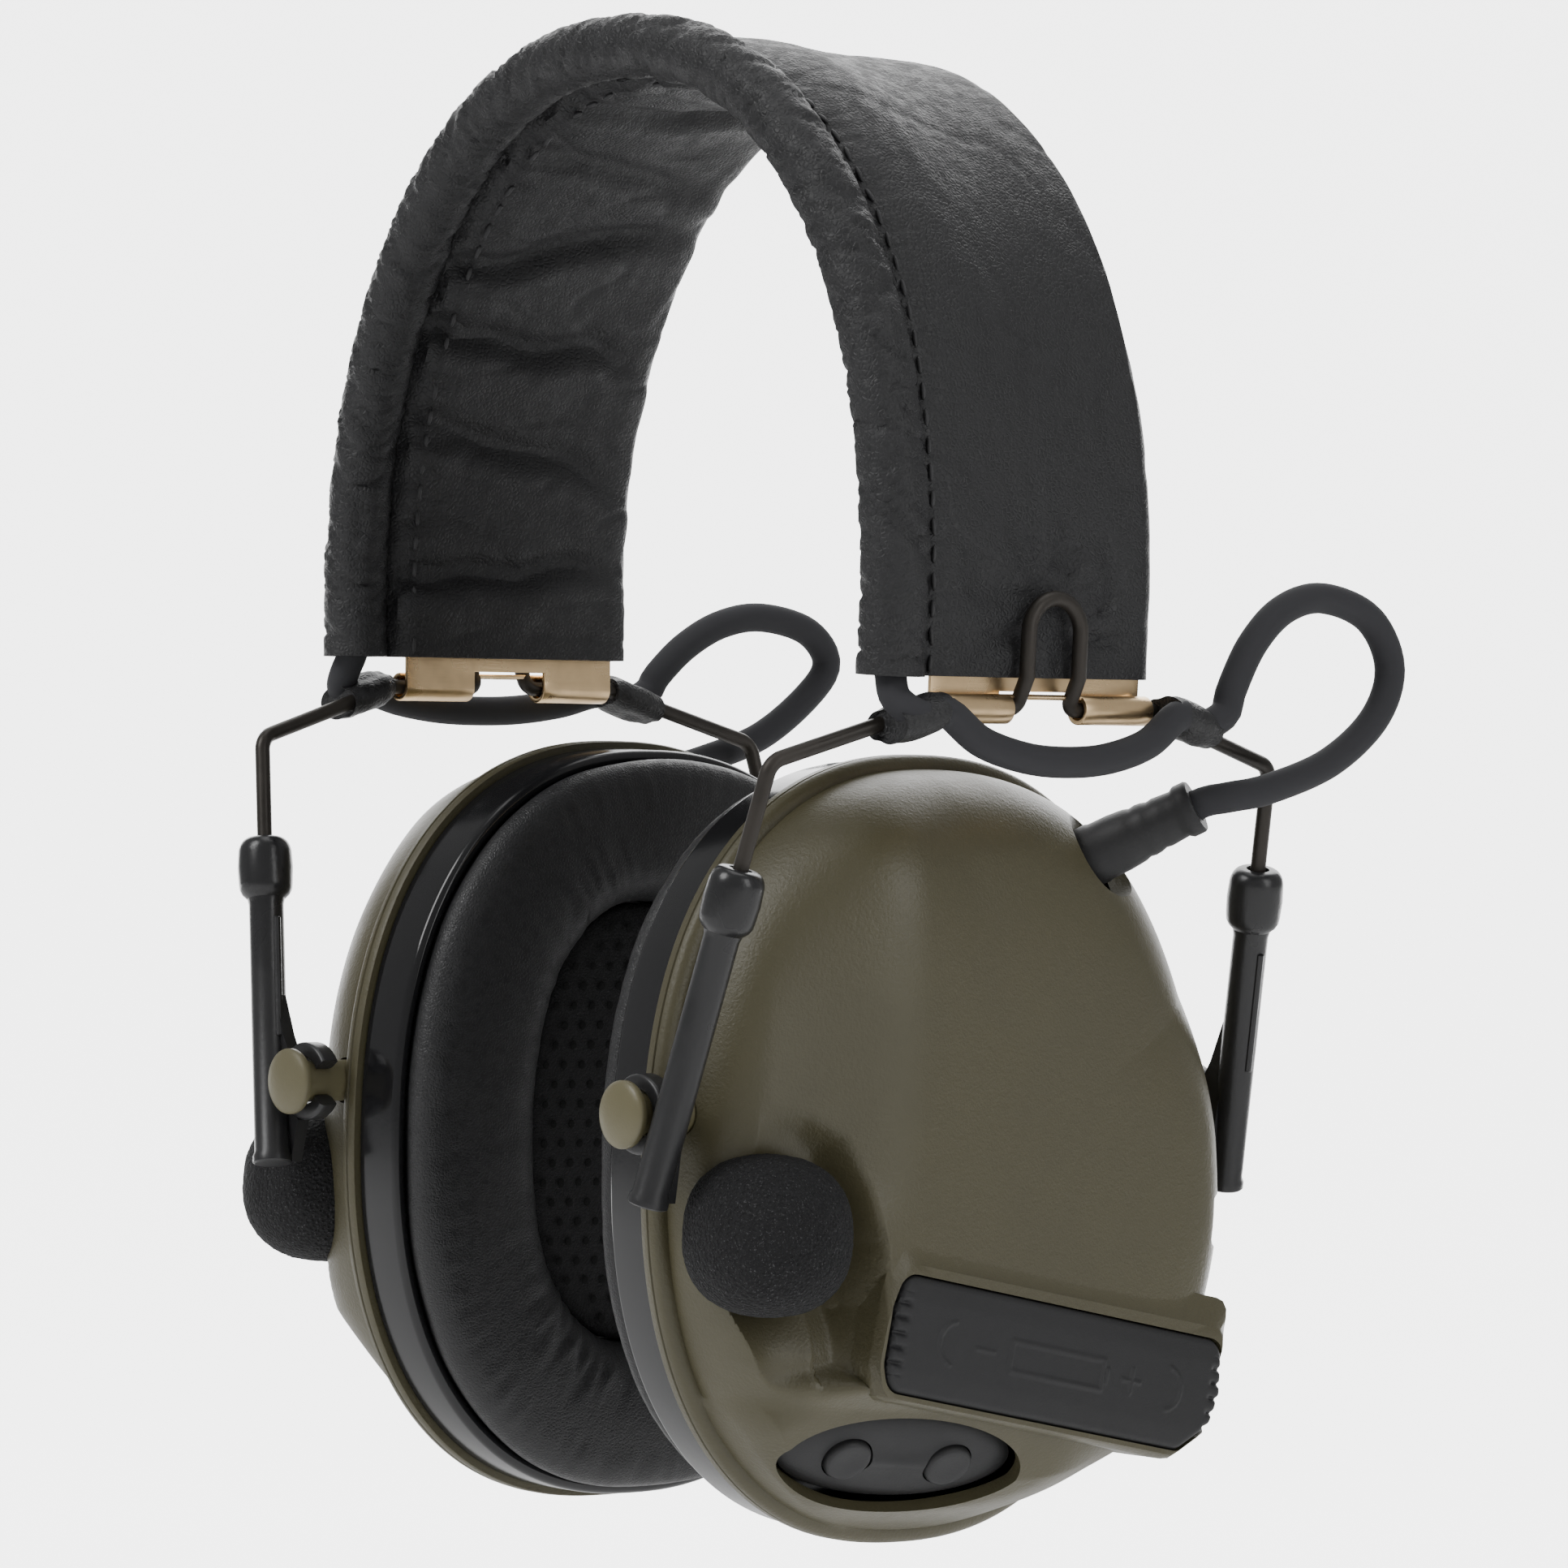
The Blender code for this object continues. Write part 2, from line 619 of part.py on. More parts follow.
def leg_point(drop):
    """The middle of the fork's rear leg at a height below the hinge, left side."""
    run = drop - SHOULDER_DROP
    y = SHOULDER_HALF_WIDTH + LEG_SPLAY * run
    return Vector((BEND_X - LEG_LEAN * run, y, HINGE_Z - drop))


def to_end(point, end):
    """A rear point, or its mirror image at the front."""
    return Vector((point[0], point[1] if end == "rear" else -point[1], point[2]))


def fork(side, label):
    """One bent wire: leg, shoulder, hinge, locating loop, hinge, shoulder, leg."""
    body = f"fork_{label}"
    add_body(body, (side * HINGE_X, 0, HINGE_Z), "headband")
    foot = leg_point(SLIDER_TOP_BELOW_HINGE + LEG_IN_SLIDER)
    knee = Vector((HINGE_X, SHOULDER_START, HINGE_Z))
    turn = Vector((HINGE_X, LOOP_HALF_WIDTH, HINGE_Z))
    face = ARCH_HALF_WIDTH + COVER_FACE + GAP + WIRE_RADIUS
    lift = Vector((face + LOOP_STAND_OFF[0], LOOP_HALF_WIDTH, HINGE_Z + LEATHER_HEM))
    arc_start = LOOP_TOP - LOOP_HALF_WIDTH - WIRE_RADIUS
    rear = [foot, leg_point(SHOULDER_DROP), knee, turn, lift]
    rear = round_corners(rear, WIRE_BEND)[:-1]
    arc = []
    for step in range(LOOP_STEPS + 1):
        angle = math.pi * step / LOOP_STEPS
        arc.append(Vector((face + LOOP_STAND_OFF[1], LOOP_HALF_WIDTH * math.cos(angle),
                           HINGE_Z + arc_start + LOOP_HALF_WIDTH * math.sin(angle))))
    front = [to_end(point, "front") for point in reversed(rear)]
    points = [*rear, lift, *arc, to_end(lift, "front"), *front]
    add_tube(f"fork_wire_{label}", points, WIRE_RADIUS, "black_wire", body, side, round_steps=1)


def cable_on_shoulder(reach):
    """Where the cable lies beside the fork's shoulder."""
    return shoulder_point(reach) + Vector((SLEEVE_CABLE_OFFSET, 0, 0))


def sleeves(side, label):
    """Shrink sleeves that hold the cable to the fork's shoulders."""
    start, stop = shoulder_point(SLEEVE_START), shoulder_point(SLEEVE_END)
    middle = Vector((SLEEVE_CABLE_OFFSET / 2, 0, 0))
    for end in ("front", "rear"):
        loops = []
        for share, swell in SLEEVE_RINGS:
            centre = start.lerp(stop, share) + middle
            loop = []
            for u, v in oval_outline(SLEEVE_HALF_DEPTH * swell, SLEEVE_HALF_HEIGHT * swell, 16):
                loop.append(to_end(centre + Vector((u, 0, v)), end))
            loops.append(loop)
        name = f"cable_sleeve_{end}_{label}"
        sleeve = add_solid(name, loft(loops), "rubber", f"fork_{label}", side)
        way = to_end(stop, end) - to_end(start, end)
        bore_start = to_end(start, end) - way
        bore = rod(bore_start, way, WIRE_RADIUS + GAP, way.length * 3, 12)
        combine(sleeve, "DIFFERENCE", name + "_bore", bore, side)


def slider(side, label, end):
    """A plastic tube on a fork leg, with a snap ring round the cup's stud."""
    body = f"slider_{end}_{label}"
    top = to_end(leg_point(SLIDER_TOP_BELOW_HINGE), end)
    along = (to_end(leg_point(1), end) - to_end(leg_point(0), end)).normalized()
    add_body(body, (side * top.x, top.y, top.z), f"fork_{label}")
    bore, head, tube = WIRE_RADIUS + GAP, SLIDER_HEAD_RADIUS, SLIDER_RADIUS
    profile = [
        (0, SLIDER_BORE_DEPTH), (bore, SLIDER_BORE_DEPTH), (bore, 0.0),
        *((head * share, distance) for share, distance in HEAD_CHAMFERS),
        (head, SLIDER_HEAD_LENGTH - HEAD_FOOT[1]), (head * HEAD_FOOT[0], SLIDER_HEAD_LENGTH),
        (tube, SLIDER_HEAD_LENGTH + HEAD_NECK), (tube, SLIDER_LENGTH - FOOT_FLARE_RISE[0]),
        (tube * FOOT_FLARE, SLIDER_LENGTH - FOOT_FLARE_RISE[1]),
        (tube * FOOT_FLARE, SLIDER_LENGTH), (0, SLIDER_LENGTH),
    ]
    piece = add_solid(body, lathe(profile, top, along, 12), "black_plastic", body, side)
    inner, outer = STUD_NECK_RADIUS + GAP, STUD_NECK_RADIUS + GAP + RING_WALL
    sweep = 2 * math.pi - 2 * RING_MOUTH
    arc = [math.pi + RING_MOUTH + sweep * k / RING_STEPS for k in range(RING_STEPS + 1)]
    outline = [(outer * math.cos(a), outer * math.sin(a)) for a in arc]
    outline += [(inner * math.cos(a), inner * math.sin(a)) for a in reversed(arc)]
    sign = 1 if end == "rear" else -1
    frame = Matrix.Translation((STUD_X, sign * RING_CENTRE_Y, STUD_Z))
    frame = frame @ Matrix.Rotation(math.pi / 2, 4, "X")
    ring = prism(outline, -RING_THICKNESS / 2, RING_THICKNESS / 2, frame)
    combine(piece, "UNION", f"snap_ring_{end}_{label}", ring, side)
    axis = to_end(leg_point(STUD_BELOW_HINGE), end)
    root = inner + ROUND_OFF
    reach = axis.x - STUD_X - WIRE_RADIUS - GAP - ROUND_OFF
    low, high = ARM_HALF_HEIGHT
    arm = [(root, -low), (reach, -high), (reach, high), (root, low)]
    web = prism(arm, -RING_THICKNESS / 2 + ARM_INSET, RING_THICKNESS / 2 - ARM_INSET, frame)
    combine(piece, "UNION", f"snap_arm_{end}_{label}", web, side)


def stud(side, label, end):
    """A domed pivot stud, seated in the side of the cup."""
    way = Vector((0, 1 if end == "rear" else -1, 0))
    seat = stud_seat()
    face, rim = STUD_DISC_FACE, STUD_DISC_RADIUS
    profile = [
        (0, seat), (STUD_NECK_RADIUS, seat), (STUD_NECK_RADIUS, face), (rim, face),
        *((rim * share, face + STUD_DISC_THICKNESS * rise) for share, rise in STUD_DOME),
        (0, face + STUD_DISC_THICKNESS),
    ]
    shape = lathe(profile, (STUD_X, 0, STUD_Z), way, 12)
    add_solid(f"pivot_stud_{end}_{label}", shape, "olive_shell", f"pivots_{label}", side)


def stud_seat():
    """Distance of a stud's inner end from the middle of the cup."""
    return DOME_HALF_WIDTH - STUD_SEAT_DEPTH


# ---------------------------------------------------------------- ear cup

def dome_height(y, z):
    """Height of the shell's outer face over its base, before the sides fall away."""
    height = DOME_HEIGHT
    forward = min(max((-y - DOME_FALL_START) / DOME_FALL_LENGTH, 0.0), 1.0)
    height -= DOME_FRONT_LOSS * forward * forward * (3 - 2 * forward)
    chin = STUD_Z - DOME_CHIN_BELOW_STUD - z
    return height - DOME_CHIN_SLOPE * max(chin, 0.0)


def dome_loop(share, inset):
    """One ring of the dome, a share of the way out from its middle."""
    loop = []
    for k in range(OUTLINE_STEPS):
        turn = 2 * math.pi * k / OUTLINE_STEPS
        wide, high = DOME_HALF_WIDTH - inset, DOME_HALF_HEIGHT - inset
        _, y, z = cup_point(turn, share * wide, share * high, 0)
        fall = (1 - share**DOME_POWER) ** 0.5
        loop.append((DOME_BASE_X - inset + fall * dome_height(y, z), y, z))
    return loop


def oval_loop(half_width, half_height, x):
    turns = [2 * math.pi * k / OUTLINE_STEPS for k in range(OUTLINE_STEPS)]
    return [cup_point(turn, half_width, half_height, x) for turn in turns]


def cup_shell(side, label):
    """The moulded outer shell, with a compartment for the cell and seats for what it carries."""
    inner_width = DOME_HALF_WIDTH - SHELL_WALL
    inner_height = DOME_HALF_HEIGHT - SHELL_WALL
    loops = [dome_loop(share, 0) for share in (DOME_MIDDLE, *reversed(DOME_RINGS), 1.0)]
    loops += [
        oval_loop(CUP_HALF_WIDTH - ROUND_OFF, CUP_HALF_HEIGHT - ROUND_OFF, DOME_BASE_X - ROUND_OFF),
        oval_loop(CUP_HALF_WIDTH, CUP_HALF_HEIGHT, DOME_BASE_X - FLANGE_EDGE),
        oval_loop(CUP_HALF_WIDTH, CUP_HALF_HEIGHT, FLANGE_FACE_X),
        oval_loop(inner_width, inner_height, FLANGE_FACE_X),
    ]
    loops += [dome_loop(share, SHELL_WALL) for share in (1.0, *DOME_RINGS, DOME_MIDDLE)]
    shell = add_solid(f"cup_shell_{label}", loft(loops), "olive_shell", f"cup_{label}", side)

    lid = lid_frame()
    box = Matrix.Translation(Vector(lid.col[0][:3]) * CELL_SHIFT) @ lid
    half_length, half_height = CELL_LENGTH / 2 + GAP, CELL_RADIUS + GAP
    depth = 2 * CELL_RADIUS + 2 * GAP
    outer = rounded_box_outline(half_length + BOX_WALL, half_height + BOX_WALL, BOX_CORNER, 1)
    block = prism(outer, LID_SEAT_X - depth - BOX_WALL, LID_SEAT_X + BOX_LIP, box)
    combine(shell, "UNION", f"cell_box_{label}", block, side)
    seat = rounded_box_outline(LID_LENGTH / 2 + GAP, LID_HEIGHT / 2 + GAP, LID_CORNER, 3)
    combine(shell, "DIFFERENCE", f"lid_seat_{label}",
            prism(seat, LID_SEAT_X, LID_SEAT_X + THROUGH, lid), side)
    pocket = rounded_box_outline(half_length, half_height, POCKET_CORNER, 1)
    combine(shell, "DIFFERENCE", f"cell_pocket_{label}",
            prism(pocket, LID_SEAT_X - depth, LID_SEAT_X + THROUGH / 2, box), side)

    centre = mic_centre()
    hollow = ball_profile(WINDSCREEN_RADIUS + GAP, BALL_STEPS)
    combine(shell, "DIFFERENCE", f"mic_recess_{label}", lathe(hollow, centre, (1, 0, 0), 2 * BALL_STEPS), side)
    base, tip = gland_ends()
    combine(shell, "DIFFERENCE", f"gland_hole_{label}",
            rod(base - (tip - base) * GLAND_SEAT_SHARE, tip - base, GLAND_BASE_RADIUS + GAP, THROUGH, 14), side)
    for end, way in (("front", -1), ("rear", 1)):
        seat_hole = rod((STUD_X, way * (stud_seat() - GAP), STUD_Z), (0, way, 0),
                        STUD_NECK_RADIUS + GAP, STUD_SEAT_HOLE, 12)
        combine(shell, "DIFFERENCE", f"stud_seat_{end}_{label}", seat_hole, side)
    if label == "left":
        hole = oval_outline(KEYPAD_HALF_LENGTH + GAP, KEYPAD_HALF_HEIGHT + GAP)
        combine(shell, "DIFFERENCE", "keypad_hole",
                prism(hole, -KEYPAD_HOLE_HALF_LENGTH, KEYPAD_HOLE_HALF_LENGTH, keypad_frame()))
        start = (PLUG_X, PLUG_FACE_Y - PLUG_HOLE_DEPTH, STUD_Z - PLUG_BELOW_STUD)
        combine(shell, "DIFFERENCE", "plug_hole",
                rod(start, (0, 1, 0), PLUG_RADIUS + GAP, THROUGH, 16))


def ball_profile(radius, steps):
    """Half a circle, as a lathe profile."""
    turns = [math.pi * k / steps for k in range(steps + 1)]
    profile = [(radius * math.sin(t), -radius * math.cos(t)) for t in turns]
    return [(0, -radius), *profile[1:-1], (0, radius)]


def mic_centre():
    return Vector((MIC_X, -MIC_FORWARD, STUD_Z - MIC_BELOW_STUD))


def gland_ends():
    rise = Vector((0, 0, HINGE_Z))
    return Vector(GLAND_BASE) + rise, Vector(GLAND_END) + rise


def lid_frame():
    """Frame of the battery lid: along it to the rear, across it, and outwards from x = 0."""
    along = Vector((0, math.cos(LID_SLOPE), -math.sin(LID_SLOPE)))
    across = Vector((0, math.sin(LID_SLOPE), math.cos(LID_SLOPE)))
    frame = Matrix((along, across, (1, 0, 0))).transposed().to_4x4()
    frame.translation = (0, LID_Y, STUD_Z - LID_BELOW_STUD)
    return frame


def keypad_frame():
    """Frame of the keypad: along it, up its face, and outwards from its face."""
    level = math.cos(KEYPAD_TILT)
    out = Vector((level * math.cos(KEYPAD_TURN), -level * math.sin(KEYPAD_TURN),
                  -math.sin(KEYPAD_TILT)))
    along = Vector((math.sin(KEYPAD_TURN), math.cos(KEYPAD_TURN), -math.tan(KEYPAD_SLOPE)))
    along = (along - out * along.dot(out)).normalized()
    frame = Matrix((along, out.cross(along), out)).transposed().to_4x4()
    frame.translation = (KEYPAD_X, KEYPAD_Y, STUD_Z - KEYPAD_BELOW_STUD)
    return frame


def ear_side(side, label):
    """Base plate, cushion, liner, driver and board of one cup."""
    body = f"cup_{label}"
    plate_width, plate_height = CUP_HALF_WIDTH - PLATE_INSET, CUP_HALF_HEIGHT - PLATE_INSET
    lip_width, lip_height = plate_width - PLATE_LIP_WALL, plate_height - PLATE_LIP_WALL
    rise, inset, lip_rise = PLATE_CHAMFER
    plate = oval_ring([
        (plate_width, plate_height, PLATE_BACK_X),
        (plate_width, plate_height, PLATE_LIP_X + rise),
        (plate_width - inset, plate_height - inset, PLATE_LIP_X),
        (lip_width, lip_height, PLATE_LIP_X + lip_rise),
        (lip_width, lip_height, PLATE_FLOOR_X),
        (PORT_HALF_WIDTH, PORT_HALF_HEIGHT, PLATE_FLOOR_X),
        (PORT_HALF_WIDTH, PORT_HALF_HEIGHT, PLATE_BACK_X),
    ])
    add_solid(f"base_plate_{label}", plate, "gloss_plastic", body, side)

    back = PLATE_FLOOR_X - GAP
    root_width, root_height = lip_width - GAP, lip_height - GAP
    mouth, mouth_depth = CUSHION_MOUTH
    cushion = oval_ring([
        (root_width, root_height, back),
        (root_width, root_height, PLATE_LIP_X - CUSHION_ROOT),
        (root_width + CUSHION_BULGE, root_height + CUSHION_BULGE, PLATE_LIP_X - CUSHION_ROUND),
        (root_width, root_height, CUSHION_FACE_X + CUSHION_ROUND),
        (root_width - CUSHION_FACE_INSET, root_height - CUSHION_FACE_INSET, CUSHION_FACE_X),
        (EAR_HALF_WIDTH + mouth, EAR_HALF_HEIGHT + mouth, CUSHION_FACE_X),
        (EAR_HALF_WIDTH, EAR_HALF_HEIGHT, CUSHION_FACE_X + mouth_depth),
        (EAR_HALF_WIDTH, EAR_HALF_HEIGHT, back),
    ])
    add_solid(f"ear_cushion_{label}", cushion, "leather", body, side)

    liner_width, liner_height = EAR_HALF_WIDTH - GAP, EAR_HALF_HEIGHT - GAP
    liner = loft([oval_loop(liner_width, liner_height, x) for x in (back - LINER_THICKNESS, back)])
    add_solid(f"liner_foam_{label}", liner, "foam", body, side)

    seat = PLATE_BACK_X + GAP
    rim, magnet = DRIVER_RADIUS, DRIVER_RADIUS * MAGNET_SHARE
    foot = [(magnet * share, DRIVER_DEPTH * height) for share, height in MAGNET_FOOT]
    profile = [(0, 0), (rim, 0), (rim, DRIVER_RIM), *foot, (magnet, DRIVER_DEPTH), (0, DRIVER_DEPTH)]
    add_solid(f"driver_{label}", lathe(profile, (seat, 0, CUP_Z), (1, 0, 0), 16), "steel", body, side)

    board = rounded_box_outline(BOARD_WIDTH / 2, BOARD_HEIGHT / 2, BOARD_CORNER, 2)
    frame = Matrix(((0, 1, 0), (0, 0, 1), (1, 0, 0))).transposed().to_4x4()
    frame.translation = (seat + DRIVER_DEPTH + GAP, 0, STUD_Z + BOARD_RISE)
    add_solid(f"circuit_board_{label}", prism(board, 0, BOARD_THICKNESS, frame),
              "board_green", body, side)


def microphone(side, label):
    """Foam windscreen with the capsule in a hole in its inner side."""
    centre = mic_centre()
    body = f"cup_{label}"
    screen = add_solid(f"mic_windscreen_{label}",
                       lathe(ball_profile(WINDSCREEN_RADIUS, BALL_STEPS), centre, (1, 0, 0),
                             2 * BALL_STEPS),
                       "foam", body, side)
    inner = centre - Vector((MIC_CAPSULE_DEPTH, 0, 0))
    mouth = inner - Vector((MIC_HOLE_MOUTH, 0, 0))
    depth = MIC_HOLE_MOUTH + MIC_CAPSULE_LENGTH + GAP
    combine(screen, "DIFFERENCE", f"capsule_hole_{label}",
            rod(mouth, (1, 0, 0), MIC_CAPSULE_RADIUS + GAP, depth, 12), side)
    capsule = rod(inner, (1, 0, 0), MIC_CAPSULE_RADIUS, MIC_CAPSULE_LENGTH, 12)
    add_solid(f"mic_capsule_{label}", capsule, "steel", body, side)


def battery(side, label):
    """The cell, its rubber lid and the lid's seal."""
    frame = lid_frame()
    along = Vector(frame.col[0][:3])
    middle = frame.translation + along * CELL_SHIFT
    start = middle - along * CELL_LENGTH / 2 + Vector((LID_SEAT_X - CELL_RADIUS - GAP, 0, 0))
    add_solid(f"battery_{label}", rod(start, along, CELL_RADIUS, CELL_LENGTH, 14),
              "steel", f"cup_{label}", side)

    hinge = frame @ Vector((LID_LENGTH / 2 - LID_HINGE_INSET, 0, LID_INNER_X + LID_THICKNESS / 2))
    body = f"battery_lid_{label}"
    add_body(body, (side * hinge.x, hinge.y, hinge.z), f"cup_{label}")
    bevel, corner_loss = LID_EDGE
    outline = rounded_box_outline(LID_LENGTH / 2, LID_HEIGHT / 2, LID_CORNER, 3)
    crown = rounded_box_outline(LID_LENGTH / 2 - bevel, LID_HEIGHT / 2 - bevel,
                                LID_CORNER - corner_loss, 3)
    loops = [[frame @ Vector((u, v, w)) for u, v in shape] for shape, w in (
        (outline, LID_INNER_X), (outline, LID_INNER_X + LID_THICKNESS - bevel),
        (crown, LID_INNER_X + LID_THICKNESS))]
    add_solid(body, loft(loops), "rubber", body, side)

    box = Matrix.Translation(along * CELL_SHIFT) @ frame
    half_length, half_height = CELL_LENGTH / 2 + GAP, CELL_RADIUS + GAP
    hole = rounded_box_outline(half_length, half_height, POCKET_CORNER, 2)
    rim = rounded_box_outline(half_length + SEAL_WIDTH, half_height + SEAL_WIDTH, BOX_WALL, 2)
    low, high = LID_SEAT_X + GAP, LID_SEAT_X + GAP + SEAL_THICKNESS
    loops = [[box @ Vector((u, v, w)) for u, v in shape]
             for shape, w in ((rim, low), (rim, high), (hole, high), (hole, low))]
    add_solid(f"lid_seal_{label}", loft(loops, ring=True), "seal_red", body, side)


def keypad():
    """The left cup's rubber keypad and its two keys."""
    frame = keypad_frame()
    out = Vector(frame.col[2][:3])
    loops = [[frame @ Vector((u, v, w)) for u, v in
              oval_outline(KEYPAD_HALF_LENGTH - inset, KEYPAD_HALF_HEIGHT - inset)]
             for inset, w in ((0, -KEYPAD_THICKNESS), (0, -ROUND_OFF), (ROUND_OFF, 0))]
    pad = add_solid("keypad", loft(loops), "rubber", "cup_left")
    for name, shift in (("key_up", -KEY_SPACING / 2), ("key_down", KEY_SPACING / 2)):
        centre = frame @ Vector((shift, 0, 0))
        hole = rod(centre - out * KEY_HOLE_HALF_LENGTH, out, KEY_RADIUS + GAP,
                   2 * KEY_HOLE_HALF_LENGTH, 16)
        combine(pad, "DIFFERENCE", name + "_hole", hole)
        add_body(name, centre, "cup_left")
        profile = [(0, -KEYPAD_THICKNESS), (KEY_RADIUS, -KEYPAD_THICKNESS), (KEY_RADIUS, 0),
                   (KEY_RADIUS * KEY_DOME[0], KEY_STAND * KEY_DOME[1]), (0, KEY_STAND)]
        add_solid(name, lathe(profile, centre, out, 16), "rubber", name)


def blanking_plug():
    """The plug that closes the left cup's unused cable hole."""
    start = (PLUG_X, PLUG_FACE_Y - PLUG_LENGTH, STUD_Z - PLUG_BELOW_STUD)
    share, edge = PLUG_EDGE
    profile = [(0, 0), (PLUG_RADIUS, 0), (PLUG_RADIUS, PLUG_LENGTH - edge),
               (PLUG_RADIUS * share, PLUG_LENGTH), (0, PLUG_LENGTH)]
    add_solid("blanking_plug", lathe(profile, start, (0, 1, 0), 16), "rubber", "cup_left")


# ---------------------------------------------------------------- cable

def cable_outside(side, label):
    """The bridge under the band's end, the gland boot and the free loop behind the cup."""
    fork_body = f"fork_{label}"
    sag = BRIDGE_SAG[label]
    rear = cable_on_shoulder(SLEEVE_START) + Vector((0, -CABLE_END_GAP, 0))
    mid_x = HINGE_X + SLEEVE_CABLE_OFFSET
    *half, low = [Vector((mid_x + x, y, HINGE_Z - sag * drop)) for x, y, drop in BRIDGE_BOW]
    half = [rear, *half]
    route = [*half, low, *(to_end(point, "front") for point in reversed(half))]
    add_tube(f"cable_bridge_{label}", smooth_route(route, CABLE_STEP), CABLE_RADIUS,
             "cable_jacket", fork_body, side)

    base, tip = gland_ends()
    way = (tip - base).normalized()
    length = (tip - base).length
    wide, narrow = GLAND_BASE_RADIUS, GLAND_END_RADIUS
    low, high, height = GLAND_COLLAR
    profile = [(0, 0), (wide, 0), (wide, GLAND_FOOT), (narrow, length - low),
               (narrow + height, length - high), (narrow + height, length), (0, length)]
    add_solid(f"cable_gland_{label}", lathe(profile, base, way, 14), "rubber", f"cup_{label}", side)

    flatten = LOOP_FLATTEN[label]
    route = [tip + way * CABLE_END_GAP]
    for x, y, z in LOOP_ROUTE:
        lift = z * flatten if z > 0 else z
        route.append(Vector((x, y, HINGE_Z + lift)))
    stop = cable_on_shoulder(SLEEVE_END)
    route.append(stop + Vector(LOOP_LEAD))
    add_tube(f"cable_loop_{label}", smooth_route(route, CABLE_STEP), CABLE_RADIUS,
             "cable_jacket", f"cup_{label}", side)


def side_assembly(side, label):
    """Everything that hangs from one end of the spring band."""
    fork(side, label)
    sleeves(side, label)
    for end in ("front", "rear"):
        slider(side, label, end)
    add_body(f"pivots_{label}", (side * STUD_X, 0, STUD_Z), f"fork_{label}")
    for end in ("front", "rear"):
        stud(side, label, end)
    add_body(f"cup_{label}", (side * STUD_X, 0, STUD_Z), f"pivots_{label}")
    cup_shell(side, label)
    ear_side(side, label)
    microphone(side, label)
    battery(side, label)
    cable_outside(side, label)


def main():
    for obj in list(bpy.data.objects):
        bpy.data.objects.remove(obj)
    headband()
    side_assembly(1, "left")
    side_assembly(-1, "right")
    keypad()
    blanking_plug()


main()
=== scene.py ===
"""Builds the finished look of a two-cup ear-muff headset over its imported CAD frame."""

import math

import bpy
import numpy as np
from bpy.props import FloatProperty, FloatVectorProperty, IntProperty, PointerProperty
from mathutils import Matrix, Vector, noise


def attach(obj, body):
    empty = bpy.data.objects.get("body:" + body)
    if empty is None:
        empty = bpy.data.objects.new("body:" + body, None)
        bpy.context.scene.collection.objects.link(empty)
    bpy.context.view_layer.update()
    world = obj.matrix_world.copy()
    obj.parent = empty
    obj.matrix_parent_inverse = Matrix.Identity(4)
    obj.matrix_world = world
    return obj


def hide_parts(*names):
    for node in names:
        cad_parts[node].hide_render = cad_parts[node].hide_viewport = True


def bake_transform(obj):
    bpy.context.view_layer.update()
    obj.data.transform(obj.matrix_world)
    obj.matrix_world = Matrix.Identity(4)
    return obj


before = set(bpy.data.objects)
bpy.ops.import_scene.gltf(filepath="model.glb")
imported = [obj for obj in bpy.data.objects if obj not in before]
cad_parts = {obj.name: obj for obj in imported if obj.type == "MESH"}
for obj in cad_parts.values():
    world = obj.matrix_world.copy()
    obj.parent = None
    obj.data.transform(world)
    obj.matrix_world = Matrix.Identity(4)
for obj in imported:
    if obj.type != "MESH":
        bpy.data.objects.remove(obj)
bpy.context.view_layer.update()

bl_info = {
    "name": "Ear-muff headset",
    "version": (1, 0, 0),
    "blender": (4, 5, 0),
    "location": "3D View > Sidebar > Headset",
    "description": "Leather, shells, cushions, cables and fittings of an ear-muff headset",
    "category": "Object",
}

MM = 0.001
SIDES = (("left", 1), ("right", -1))
ENDS = (("rear", 1), ("front", -1))

# ---------------------------------------------------------------- places shared with the frame

HINGE_X = 0.0551
HINGE_Z = -0.0788115
STUD_X = 0.0346
STUD_Z = -0.1302115
CUP_Z = -0.1357115
ARCH_HALF_WIDTH = 0.0540
ARCH_POWER = 2.2
ARCH_RISE = 0.0674
LEG_HEIGHT = 0.0150
HEM = 0.0040
ROLL_Y = -0.0251
ROLL_LIFT = 0.0013
OUTLINE_POWER = 2.3
DOME_HALF = (0.0407, 0.0487)
DOME_BASE_X = 0.0329
MIC_CENTRE = Vector((0.0460, -0.0350, STUD_Z - 0.0146))
GLAND_BASE = Vector((0.0437, 0.0198, HINGE_Z - 0.0187))
GLAND_TIP = Vector((0.0540, 0.0280, HINGE_Z - 0.0120))
LID_FOOT_X = 0.0488
LID_TOP_X = 0.0520
LID_SEAT_X = 0.0474
KEY_SPACING = 0.0150
WIRE_RADIUS = 0.0010
CABLE_RADIUS = 0.0020
SLIDER_TOP = 0.0203  # below the hinge
SLIDER_LENGTH = 0.0437
NOTCH_TOP = 0.0013  # above the hinge
LOOP_RADIUS = 0.00435  # of the fork's locating loop
CABLE_OFFSET = 0.0043  # from the middle of the fork's wire to the middle of the cable beside it
PLUG_X = 0.0385
PLUG_Z = STUD_Z - 0.0225
THREAD = 0.0007


# ---------------------------------------------------------------- sizes and colours to change

